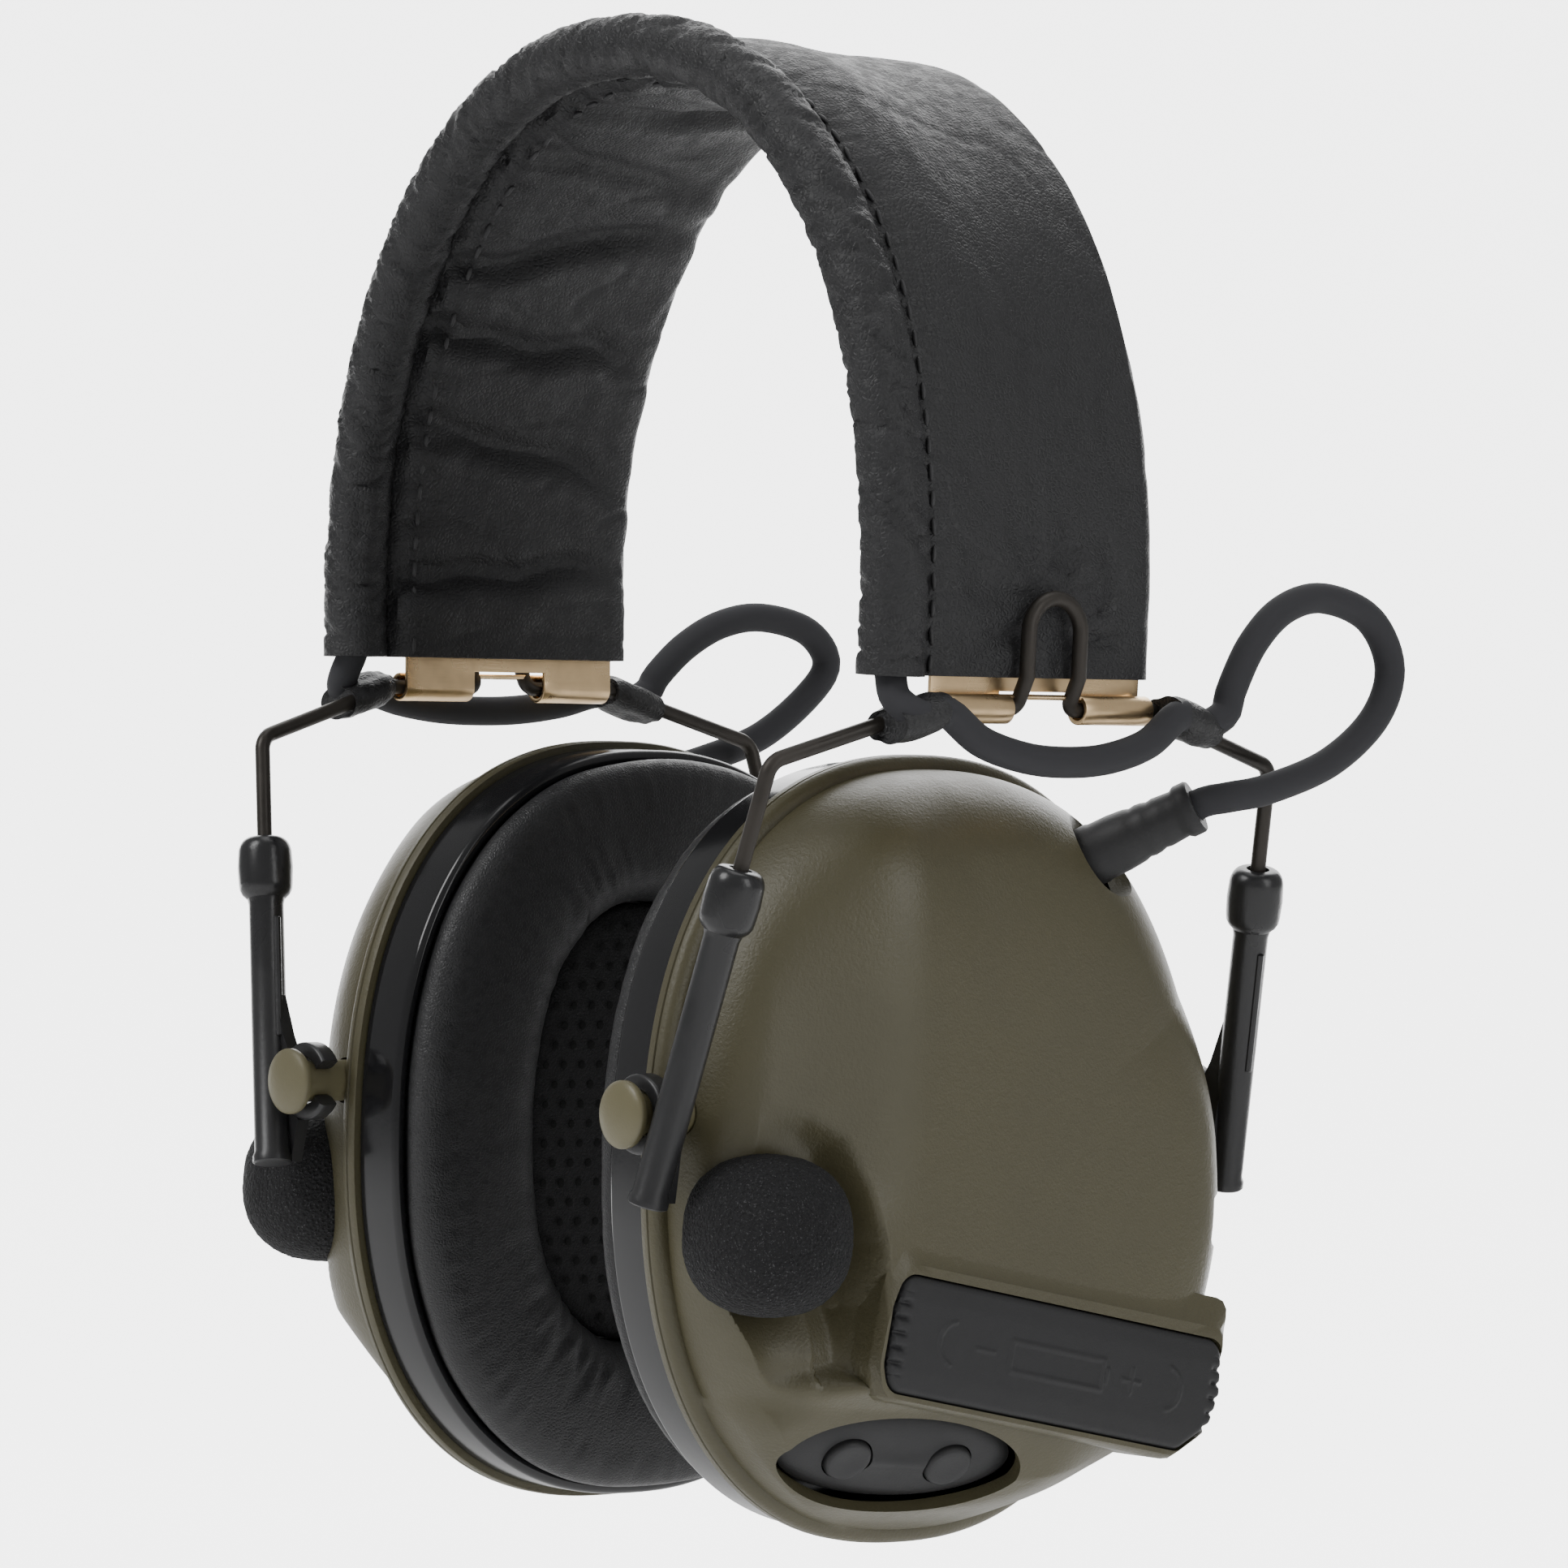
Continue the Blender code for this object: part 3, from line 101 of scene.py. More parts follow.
class HeadsetSizes(bpy.types.PropertyGroup):
    stitch_spacing: FloatProperty(
        name="Stitch spacing", description="From one stitch of the headband to the next",
        default=0.0034, min=0.002, max=0.010, unit="LENGTH")
    stitch_length: FloatProperty(
        name="Stitch length", description="Length of one visible stitch",
        default=0.0024, min=0.001, max=0.006, unit="LENGTH")
    crease_depth: FloatProperty(
        name="Crease depth", description="Depth of the creases inside the headband",
        default=0.0016, min=0.0, max=0.002, unit="LENGTH")
    cushion_wrinkle: FloatProperty(
        name="Cushion wrinkle", description="Height of the small folds in the ear cushions",
        default=0.00035, min=0.0, max=0.001, unit="LENGTH")
    hole_spacing: FloatProperty(
        name="Hole spacing", description="From one hole of the ear liner to the next",
        default=0.0030, min=0.002, max=0.006, unit="LENGTH")
    hole_radius: FloatProperty(
        name="Hole radius", description="Radius of one hole of the ear liner",
        default=0.00065, min=0.0003, max=0.001, unit="LENGTH")
    shell_rings: IntProperty(
        name="Shell rings", description="Rings of faces from the middle of a shell to its edge",
        default=120, min=40, max=160)


class HeadsetColours(bpy.types.PropertyGroup):
    shell: FloatVectorProperty(
        name="Shell", description="Moulded ear shells", subtype="COLOR",
        default=(0.0830, 0.0745, 0.0400), min=0.0, max=1.0)
    leather: FloatVectorProperty(
        name="Leather", description="Headband cover", subtype="COLOR",
        default=(0.0180, 0.0180, 0.0190), min=0.0, max=1.0)
    cushion: FloatVectorProperty(
        name="Cushion", description="Skin of the ear cushions", subtype="COLOR",
        default=(0.0190, 0.0190, 0.0200), min=0.0, max=1.0)
    rubber: FloatVectorProperty(
        name="Rubber", description="Lids, keypad, boots and plug", subtype="COLOR",
        default=(0.0200, 0.0200, 0.0210), min=0.0, max=1.0)
    spring: FloatVectorProperty(
        name="Spring", description="Gilt spring band", subtype="COLOR",
        default=(0.9400, 0.6900, 0.4000), min=0.0, max=1.0)


# ---------------------------------------------------------------- curves and meshes

def smooth(value):
    """0 below 0, 1 above 1, and a soft turn between them."""
    value = np.clip(value, 0.0, 1.0)
    return value * value * (3 - 2 * value)


def skin(loops, ring=False):
    """Points and faces of a skin through equal loops. Unless it is a ring, both ends are closed."""
    count, rows = len(loops[0]), len(loops)
    points = np.concatenate([np.asarray(loop, float) for loop in loops])
    column = np.arange(count)
    after = (column + 1) % count
    faces = []
    for row in range(rows if ring else rows - 1):
        low, high = row * count, (row + 1) % rows * count
        faces += np.stack([low + column, low + after, high + after, high + column], 1).tolist()
    if not ring:
        first, last = len(points), len(points) + 1
        ends = [points[:count].mean(0), points[-count:].mean(0)]
        points = np.concatenate([points, ends])
        high = (rows - 1) * count
        faces += np.stack([column * 0 + first, after, column], 1).tolist()
        faces += np.stack([column * 0 + last, high + column, high + after], 1).tolist()
    return points, faces


def signed_volume(points, faces):
    total = 0.0
    for face in faces:
        corner = points[face[0]]
        for second, third in zip(face[1:-1], face[2:]):
            total += np.dot(corner, np.cross(points[second], points[third]))
    return total


def solid(name, shape, material, side=1, sharp=40.0):
    """A mesh object of a closed shape, mirrored for the right side, with its faces outwards."""
    points, faces = np.asarray(shape[0], float) * (side, 1.0, 1.0), shape[1]
    if signed_volume(points, faces) < 0:
        faces = [face[::-1] for face in faces]
    mesh = bpy.data.meshes.new(name)
    mesh.from_pydata(points.tolist(), [], faces)
    mesh.shade_smooth()
    mesh.set_sharp_from_angle(angle=math.radians(sharp))
    if material:
        mesh.materials.append(material)
    piece = bpy.data.objects.new(name, mesh)
    bpy.context.scene.collection.objects.link(piece)
    return piece


def joined(*shapes):
    """Several closed shapes as one."""
    points, faces, count = [], [], 0
    for shape in shapes:
        shape_points, shape_faces = np.asarray(shape[0], float), shape[1]
        if signed_volume(shape_points, shape_faces) < 0:
            shape_faces = [face[::-1] for face in shape_faces]
        points.append(shape_points)
        faces += [[corner + count for corner in face] for face in shape_faces]
        count += len(shape_points)
    return np.concatenate(points), faces


def baked(piece):
    """Turns what the piece's modifiers make into its plain mesh."""
    graph = bpy.context.evaluated_depsgraph_get()
    mesh = bpy.data.meshes.new_from_object(piece.evaluated_get(graph), depsgraph=graph)
    piece.modifiers.clear()
    old = piece.data
    piece.data = mesh
    mesh.name = piece.name
    bpy.data.meshes.remove(old)
    return piece


def carve(piece, steps, side=1, sharp=40.0):
    """Adds and cuts closed shapes, given as (operation, shape), and keeps the result."""
    helpers = []
    for operation, shape in steps:
        helper = solid("helper", shape, None, side)
        helpers.append(helper)
        modifier = piece.modifiers.new("carve", "BOOLEAN")
        modifier.operation = operation
        modifier.solver = "MANIFOLD"
        modifier.object = helper
    before = len(piece.data.polygons)
    baked(piece)
    if len(piece.data.polygons) == before:
        raise RuntimeError(f"nothing was carved from {piece.name}")
    for helper in helpers:
        bpy.data.objects.remove(helper)
    piece.data.shade_smooth()
    piece.data.set_sharp_from_angle(angle=math.radians(sharp))
    return piece


def fit(piece, body, slot, *nodes):
    """The piece rides on a body and stands for CAD nodes."""
    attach(piece, body)
    if nodes:
        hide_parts(*nodes)
    return piece


def turned(profile, start, direction, steps=48):
    """A turned solid from (radius, distance) points that begin and end on the axis."""
    along = Vector(direction).normalized()
    turn = along.to_track_quat("Z", "Y").to_matrix()
    angles = [2 * math.pi * k / steps for k in range(steps)]
    loops = []
    for radius, distance in profile:
        radius = max(radius, 1e-6)
        loops.append([Vector(start) + turn @ Vector((radius * math.cos(a), radius * math.sin(a), distance))
                      for a in angles])
    return skin(loops)


def rounded(points, radius, steps=6):
    """A polyline whose corners are arcs."""
    result = [Vector(points[0])]
    for before, corner, after in zip(points, points[1:], points[2:]):
        corner = Vector(corner)
        back = (Vector(before) - corner).normalized()
        ahead = (Vector(after) - corner).normalized()
        half = math.acos(max(-1.0, min(1.0, back.dot(ahead)))) / 2
        reach = radius / math.tan(half)
        centre = corner + (back + ahead).normalized() * (radius / math.sin(half))
        first, last = corner + back * reach - centre, corner + ahead * reach - centre
        for step in range(steps + 1):
            result.append(centre + first.slerp(last, step / steps).normalized() * radius)
    return [*result, Vector(points[-1])]


def flowing(points, spacing):
    """Evenly spaced points on a smooth curve through the given ones."""
    knots = [Vector(p) for p in points]
    knots = [2 * knots[0] - knots[1], *knots, 2 * knots[-1] - knots[-2]]
    fine = []
    for a, b, c, d in zip(knots, knots[1:], knots[2:], knots[3:]):
        for k in range(40):
            t = k / 40
            fine.append(0.5 * (2 * b + (c - a) * t + (2 * a - 5 * b + 4 * c - d) * t**2
                               + (3 * b - a - 3 * c + d) * t**3))
    fine.append(knots[-2])
    line = np.array(fine)
    run = np.concatenate([[0], np.cumsum(np.linalg.norm(np.diff(line, axis=0), axis=1))])
    wanted = np.linspace(0, run[-1], max(3, round(run[-1] / spacing) + 1))
    return [Vector(p) for p in np.stack([np.interp(wanted, run, line[:, k]) for k in range(3)], 1)]


def tube(path, radius, steps=24, soft_ends=(True, True)):
    """A round skin along a path, with soft ends where asked for."""
    path = [Vector(p) for p in path]
    tangents = [(b - a).normalized() for a, b in zip([path[0], *path[:-1]], [*path[1:], path[-1]])]
    tangents[0] = (path[1] - path[0]).normalized()
    tangents[-1] = (path[-1] - path[-2]).normalized()
    across = tangents[0].orthogonal().normalized()
    loops = []
    angles = [2 * math.pi * k / steps for k in range(steps)]
    for k, (point, tangent) in enumerate(zip(path, tangents)):
        across = (across - tangent * across.dot(tangent)).normalized()
        other = tangent.cross(across)
        ring = [point + (across * math.cos(a) + other * math.sin(a)) * radius for a in angles]
        if (k == 0 and soft_ends[0]) or (k == len(path) - 1 and soft_ends[1]):
            inward = tangent if k == 0 else -tangent
            cap = [point + (p - point) * 0.82 for p in ring]
            ring = [p + inward * radius * 0.18 for p in ring]
            loops += [cap, ring] if k == 0 else [ring, cap]
        else:
            loops.append(ring)
    return skin(loops)


def polygon_distance(outline, u, v):
    """Distance of each (u, v) from a closed outline, below 0 inside it."""
    corners = np.asarray(outline, float)
    nearest = np.full(u.shape, 1e9)
    inside = np.zeros(u.shape, bool)
    for (u0, v0), (u1, v1) in zip(corners, np.roll(corners, -1, axis=0)):
        du, dv = u1 - u0, v1 - v0
        share = np.clip(((u - u0) * du + (v - v0) * dv) / (du * du + dv * dv), 0, 1)
        nearest = np.minimum(nearest, np.hypot(u - u0 - share * du, v - v0 - share * dv))
        crosses = (v0 > v) != (v1 > v)
        with np.errstate(divide="ignore", invalid="ignore"):
            inside ^= crosses & (u < (v - v0) * du / dv + u0)
    return np.where(inside, -nearest, nearest)


def soft_outline(corners, radius, steps=5):
    """A closed (u, v) outline with round corners."""
    points = [Vector((u, v, 0)) for u, v in corners]
    ring = rounded([points[-1], *points, points[0]], radius, steps)[1:-1]
    return [(p.x, p.y) for p in ring]


def slab(outline, near, far, place):
    """An outline swept between two heights of a frame."""
    line = np.asarray(outline, float)
    return skin([[place @ Vector((u, v, w)) for u, v in line] for w in (near, far)])


def ripple(point, scale, seed):
    """Smooth noise, from -1 to 1."""
    return noise.noise(Vector(point) * scale + Vector((seed, seed * 1.7, -seed)))


def crease(point, scale, width, seed):
    """1 along thin wandering lines, and 0 away from them."""
    return math.exp(-((ripple(point, scale, seed) / width) ** 2))


# ---------------------------------------------------------------- finishes

def wire_up(tree, links):
    for start, end in links:
        tree.links.new(start, end)


def grain_group(name, build):
    """A node group that turns a place and a scale into a height and a mask."""
    group = bpy.data.node_groups.get(name)
    if group:
        return group
    group = bpy.data.node_groups.new(name, "ShaderNodeTree")
    group.interface.new_socket("Place", in_out="INPUT", socket_type="NodeSocketVector")
    scale = group.interface.new_socket("Scale", in_out="INPUT", socket_type="NodeSocketFloat")
    scale.default_value = 1000.0
    group.interface.new_socket("Height", in_out="OUTPUT", socket_type="NodeSocketFloat")
    group.interface.new_socket("Mask", in_out="OUTPUT", socket_type="NodeSocketFloat")
    entry = group.nodes.new("NodeGroupInput")
    leave = group.nodes.new("NodeGroupOutput")
    height, mask = build(group, entry)
    wire_up(group, [(height, leave.inputs["Height"]), (mask, leave.inputs["Mask"])])
    return group


def noise_in(group, entry, factor, detail, roughness=0.6, place=None):
    """Noise at a multiple of the group's scale."""
    times = group.nodes.new("ShaderNodeMath")
    times.operation = "MULTIPLY"
    times.inputs[1].default_value = factor
    texture = group.nodes.new("ShaderNodeTexNoise")
    texture.inputs["Detail"].default_value = detail
    texture.inputs["Roughness"].default_value = roughness
    wire_up(group, [(entry.outputs["Scale"], times.inputs[0]),
                    (place or entry.outputs["Place"], texture.inputs["Vector"]),
                    (times.outputs[0], texture.inputs["Scale"])])
    return texture.outputs[0]


def cells_in(group, entry, factor, feature):
    times = group.nodes.new("ShaderNodeMath")
    times.operation = "MULTIPLY"
    times.inputs[1].default_value = factor
    texture = group.nodes.new("ShaderNodeTexVoronoi")
    texture.feature = feature
    wire_up(group, [(entry.outputs["Scale"], times.inputs[0]),
                    (entry.outputs["Place"], texture.inputs["Vector"]),
                    (times.outputs[0], texture.inputs["Scale"])])
    return texture.outputs["Distance"]


def remapped(group, value, low, high, out_low=0.0, out_high=1.0):
    ramp = group.nodes.new("ShaderNodeMapRange")
    ramp.interpolation_type = "SMOOTHSTEP"
    for key, number in (("From Min", low), ("From Max", high),
                        ("To Min", out_low), ("To Max", out_high)):
        ramp.inputs[key].default_value = number
    group.links.new(value, ramp.inputs["Value"])
    return ramp.outputs["Result"]


def blended(group, first, second, share):
    mix = group.nodes.new("ShaderNodeMix")
    mix.inputs["Factor"].default_value = share
    wire_up(group, [(first, mix.inputs["A"]), (second, mix.inputs["B"])])
    return mix.outputs["Result"]


def moulded_grain(group, entry):
    """Spark-eroded texture of a moulding, with broad uneven patches as its mask."""
    fine = noise_in(group, entry, 1.0, 3.0)
    coarse = noise_in(group, entry, 0.35, 2.0)
    patches = noise_in(group, entry, 0.02, 4.0)
    return blended(group, fine, coarse, 0.35), remapped(group, patches, 0.35, 0.65)


def hide_grain(group, entry):
    """Pebbled cells of leather, with their furrows as a mask."""
    pebbles = remapped(group, cells_in(group, entry, 1.0, "DISTANCE_TO_EDGE"), 0.0, 0.28)
    wrinkles = noise_in(group, entry, 0.30, 5.0, 0.7)
    return blended(group, pebbles, wrinkles, 0.5), remapped(group, wrinkles, 0.38, 0.62)


def open_cells(group, entry):
    """Open foam: ragged pits, with the strands that catch light as a mask."""
    pits = remapped(group, cells_in(group, entry, 1.0, "F1"), 0.15, 0.75)
    ragged = noise_in(group, entry, 1.6, 3.0, 0.8)
    return blended(group, pits, ragged, 0.5), remapped(group, ragged, 0.56, 0.74)


def brushed(group, entry):
    """Fine lines across a strip of metal."""
    stretch = group.nodes.new("ShaderNodeVectorMath")
    stretch.operation = "MULTIPLY"
    stretch.inputs[1].default_value = (1.0, 0.04, 1.0)
    group.links.new(entry.outputs["Place"], stretch.inputs[0])
    lines = noise_in(group, entry, 1.0, 4.0, 0.7, stretch.outputs[0])
    stain = noise_in(group, entry, 0.05, 3.0)
    return lines, remapped(group, stain, 0.35, 0.7)


GRAINS = {"moulded": moulded_grain, "hide": hide_grain, "cells": open_cells, "brushed": brushed}


def finish(name, colour, second, rough, grain, scale, depth, **sockets):
    """A finish: two tones and two roughnesses by the grain's mask, and a bump of its height."""
    material = bpy.data.materials.get(name)
    if material:
        return material
    material = bpy.data.materials.new(name)
    material.use_nodes = True
    tree = material.node_tree
    surface = tree.nodes["Principled BSDF"]
    place = tree.nodes.new("ShaderNodeTexCoord")
    texture = tree.nodes.new("ShaderNodeGroup")
    texture.node_tree = grain_group(grain + "_grain", GRAINS[grain])
    texture.inputs["Scale"].default_value = scale
    tones = tree.nodes.new("ShaderNodeMix")
    tones.data_type = "RGBA"
    tones.inputs[6].default_value = (*colour, 1.0)
    tones.inputs[7].default_value = (*second, 1.0)
    bump = tree.nodes.new("ShaderNodeBump")
    bump.inputs["Distance"].default_value = depth
    gloss = remapped(tree, texture.outputs["Mask"], 0.0, 1.0, rough[0], rough[1])
    wire_up(tree, [(place.outputs["Object"], texture.inputs["Place"]),
                   (texture.outputs["Mask"], tones.inputs[0]),
                   (texture.outputs["Height"], bump.inputs["Height"]),
                   (tones.outputs[2], surface.inputs["Base Color"]),
                   (gloss, surface.inputs["Roughness"]),
                   (bump.outputs["Normal"], surface.inputs["Normal"])])
    for key, value in sockets.items():
        surface.inputs[key.replace("_", " ")].default_value = value
    return material


def shade(colour, factor):
    return tuple(min(1.0, part * factor) for part in colour)


def shell_finish():
    tone = bpy.context.scene.headset_colours.shell
    return finish("shell_olive", tone, shade(tone, 0.93), (0.36, 0.44), "moulded", 2400.0, 0.00012,
                  Specular_IOR_Level=0.5)


def stud_finish():
    tone = shade(bpy.context.scene.headset_colours.shell, 1.75)
    return finish("stud_olive", tone, shade(tone, 0.9), (0.36, 0.46), "moulded", 2600.0, 0.00004)


def leather_finish():
    tone = bpy.context.scene.headset_colours.leather
    return finish("headband_leather", tone, shade(tone, 1.25), (0.46, 0.60), "hide", 1500.0, 0.00012,
                  Specular_IOR_Level=0.42)


def cushion_finish():
    tone = bpy.context.scene.headset_colours.cushion
    return finish("cushion_skin", tone, shade(tone, 1.2), (0.40, 0.50), "hide", 2200.0, 0.00008,
                  Specular_IOR_Level=0.45)


def rubber_finish():
    tone = bpy.context.scene.headset_colours.rubber
    return finish("soft_rubber", tone, shade(tone, 1.15), (0.50, 0.60), "moulded", 3200.0, 0.00004,
                  Specular_IOR_Level=0.4)


def sleeve_finish():
    return finish("shrink_sleeve", (0.014, 0.014, 0.015), (0.020, 0.020, 0.021), (0.48, 0.62),
                  "hide", 1400.0, 0.00012)


def cable_finish():
    return finish("cable_jacket", (0.026, 0.027, 0.029), (0.032, 0.033, 0.035), (0.42, 0.52),
                  "moulded", 3600.0, 0.00004)


def slider_finish():
    return finish("slider_plastic", (0.016, 0.016, 0.017), (0.021, 0.021, 0.022), (0.26, 0.38),
                  "moulded", 1800.0, 0.00004)


def plate_finish():
    return finish("plate_gloss", (0.009, 0.009, 0.010), (0.012, 0.012, 0.013), (0.10, 0.20),
                  "moulded", 900.0, 0.00001)


def wire_finish():
    return finish("coated_wire", (0.030, 0.026, 0.022), (0.048, 0.042, 0.036), (0.34, 0.50),
                  "moulded", 3000.0, 0.00003, Metallic=0.5)


def spring_finish():
    tone = bpy.context.scene.headset_colours.spring
    return finish("spring_gilt", tone, shade(tone, 0.82), (0.26, 0.38), "brushed", 2600.0, 0.00002,
                  Metallic=1.0)


def foam_finish():
    return finish("windscreen_foam", (0.016, 0.016, 0.017), (0.120, 0.120, 0.125), (0.80, 0.95),
                  "cells", 1900.0, 0.00060, Specular_IOR_Level=0.3)


def cloth_finish():
    return finish("liner_cloth", (0.014, 0.014, 0.015), (0.026, 0.026, 0.027), (0.82, 0.95),
                  "cells", 3200.0, 0.00020)


def hole_shade_finish():
    # Near black: the painted shade inside a liner hole, laid on flat discs.
    return finish("liner_hole_shade", (0.002, 0.002, 0.002), (0.004, 0.004, 0.004), (0.9, 1.0),
                  "cells", 3000.0, 0.00005)


def thread_finish():
    return finish("stitch_thread", (0.026, 0.026, 0.027), (0.042, 0.042, 0.044), (0.50, 0.65),
                  "brushed", 5000.0, 0.00006)


def seal_finish():
    return finish("seal_red", (0.300, 0.014, 0.010), (0.240, 0.010, 0.008), (0.42, 0.52),
                  "moulded", 2400.0, 0.00003)


def steel_finish():
    return finish("plain_steel", (0.52, 0.52, 0.53), (0.42, 0.42, 0.43), (0.24, 0.40),
                  "brushed", 2200.0, 0.00002, Metallic=1.0)


def board_finish():
    return finish("board_lacquer", (0.012, 0.090, 0.035), (0.020, 0.130, 0.055), (0.24, 0.36),
                  "moulded", 500.0, 0.00002)


# ---------------------------------------------------------------- headband

def arch_line(count, lowest=HEM):
    """Evenly spaced (place, outward normal, distance) along the band, left hem to right hem."""
    turns = np.linspace(0, math.pi, 400)
    across = np.sign(np.cos(turns)) * np.abs(np.cos(turns)) ** (2 / ARCH_POWER) * ARCH_HALF_WIDTH
    height = LEG_HEIGHT + ARCH_RISE * np.sin(turns)
    foot = ARCH_HALF_WIDTH - 0.00035 * (LEG_HEIGHT - lowest) / (LEG_HEIGHT - HEM)
    x = np.concatenate([[foot], across, [-foot]])
    z = np.concatenate([[lowest], height, [lowest]]) + HINGE_Z
    run = np.concatenate([[0], np.cumsum(np.hypot(np.diff(x), np.diff(z)))])
    wanted = np.linspace(0, run[-1], count)
    x, z = np.interp(wanted, run, x), np.interp(wanted, run, z)
    kernel = np.ones(5) / 5
    dx, dz = np.gradient(x, wanted), np.gradient(z, wanted)
    dx[2:-2], dz[2:-2] = np.convolve(dx, kernel, "valid"), np.convolve(dz, kernel, "valid")
    length = np.hypot(dx, dz)
    return np.stack([x, z], 1), np.stack([dz / length, -dx / length], 1), wanted


def resampled(points, count, closed=True):
    """Evenly spaced points on a (u, v) line."""
    line = np.asarray(points, float)
    if closed:
        line = np.concatenate([line, line[:1]])
    run = np.concatenate([[0], np.cumsum(np.linalg.norm(np.diff(line, axis=0), axis=1))])
    wanted = np.linspace(0, run[-1], count, endpoint=not closed)
    return np.stack([np.interp(wanted, run, line[:, k]) for k in range(2)], 1)


def cover_section(count):
    """The leather's outer line as (y, lift) points: flat body, stitched neck and front roll."""
    inner, outer = -0.0034, 0.0016
    points = [(-0.0192, inner + 0.0003), (-0.0150, inner - 0.0001), (0.0, inner - 0.0003),
              (0.0150, inner - 0.0001), (0.0174, inner + 0.0004), (0.0185, -0.0018), (0.0187, -0.0006),
              (0.0184, 0.0007), (0.0172, outer - 0.0001), (0.0120, outer + 0.0001), (0.0, outer + 0.0002),
              (-0.0150, outer), (-0.0184, outer - 0.0003), (-0.0203, outer - 0.0013)]
    for k in range(25):
        angle = math.radians(28 + 304 * k / 24)
        points.append((ROLL_Y + 0.0043 * math.cos(angle), ROLL_LIFT + 0.0043 * math.sin(angle)))
    points.append((-0.0207, inner + 0.0016))
    return resampled(points, count)


def cover_hollow(count):
    """The hollow that holds the pad, the spring and the cable, in step with the outer line."""
    points = [(-0.0176, -0.0024), (0.0174, -0.0024), (0.0178, -0.0010), (0.0174, 0.0006), (-0.0176, 0.0006),
              (-0.0200, 0.0003)]
    for k in range(17):
        angle = math.radians(20 + 320 * k / 16)
        points.append((ROLL_Y + 0.0026 * math.cos(angle), ROLL_LIFT + 0.0026 * math.sin(angle)))
    points.append((-0.0200, -0.0002))
    return resampled(points, count)


INNER_CREASES = ((0.040, 0.0011, 0.25), (0.058, 0.0007, -0.15), (0.072, 0.0010, 0.10), (0.090, 0.0006, 0.30),
                 (0.098, 0.0009, -0.20), (0.112, 0.0006, 0.15), (0.124, 0.0008, -0.10), (0.141, 0.0007, 0.2),
                 (0.155, 0.0009, -0.22), (0.171, 0.0010, 0.12), (0.187, 0.0008, 0.24), (0.203, 0.0011, -0.1))


def plump(run, y):
    """How far the outer leather stands up behind the roll, away from its hems."""
    risen = float(smooth(np.array((run - 0.022) / 0.030)))
    return risen * (0.0013 * math.exp(-((y + 0.0100) / 0.0075) ** 2) + 0.0005 * (y < 0.0172))


def leather_fold(along, total, y, lift, depth):
    """How far the leather stands out of its plain section at a place along and across the band."""
    swell = 0.00022 * ripple((along, y, lift), 70.0, 3.1)
    swell += 0.00010 * ripple((along, y * 2, lift), 260.0, 7.7)
    if y < -0.0205:
        slant = along + 0.45 * y + 0.7 * lift
        swell += 0.00016 * ripple((slant * 3.0, y, lift), 210.0, 1.3)
        swell -= 0.00042 * crease((slant, y * 0.35, lift * 0.35), 300.0, 0.10, 9.1)
        swell -= 0.00026 * crease((slant, y * 0.5, lift * 0.5), 620.0, 0.12, 4.4)
    elif lift < -0.002:
        reach = 1.0 - 0.72 * float(smooth(np.array((y - 0.006) / 0.010)))
        swell -= 0.00022 * crease((along, y * 0.45, 0), 130.0, 0.06, 3.3)
        for place, share, slant in INNER_CREASES:
            off = (along - place - slant * y - 0.0022 * ripple((y, place, 0), 90.0, 2.0)) / 0.0021
            if abs(off) < 5:
                valley = -math.exp(-off * off) + 0.55 * math.exp(-((off - 2.0) / 1.5) ** 2)
                swell += valley * share / 0.0011 * depth * reach
        gather = math.exp(-((y + 0.0195) / 0.0045) ** 2)
        swell += gather * 0.00055 * ripple((along * 3.0, y, 0), 150.0, 5.0)
    elif lift > 0.0:
        swell += plump(min(along, total - along), y)
        for end in (along, total - along):
            up, out = end - 0.0075, y
            span = math.hypot(up, out)
            if span < 0.022:
                angle = math.atan2(up, out)
                fan = math.exp(-((span - 0.0092) / 0.0050) ** 2)
                swell += 0.00030 * fan * math.cos(8 * angle + 2.0 * ripple((span, angle, 0), 60.0, 4.0))
                swell -= 0.00040 * math.exp(-(span / 0.0045) ** 2)
                swell -= 0.00085 * fan * crease((angle * 0.0045, span * 0.3, 0), 260.0, 0.12, 8.0) * (
                    1.0 if out > 0 else 0.6)
        gather = math.exp(-((y + 0.0195) / 0.0040) ** 2)
        swell += gather * 0.00034 * ripple((along * 3.0, y, 0), 200.0, 6.0)
        swell -= gather * 0.00030 * crease((along, y * 0.3, 0), 330.0, 0.10, 2.6)
        swell -= 0.00012 * crease((along * 0.6, y, 0), 90.0, 0.05, 7.3)
    return swell


def band_place(place, normal, y, lift):
    return (place[0] + normal[0] * lift, y, place[1] + normal[1] * lift)


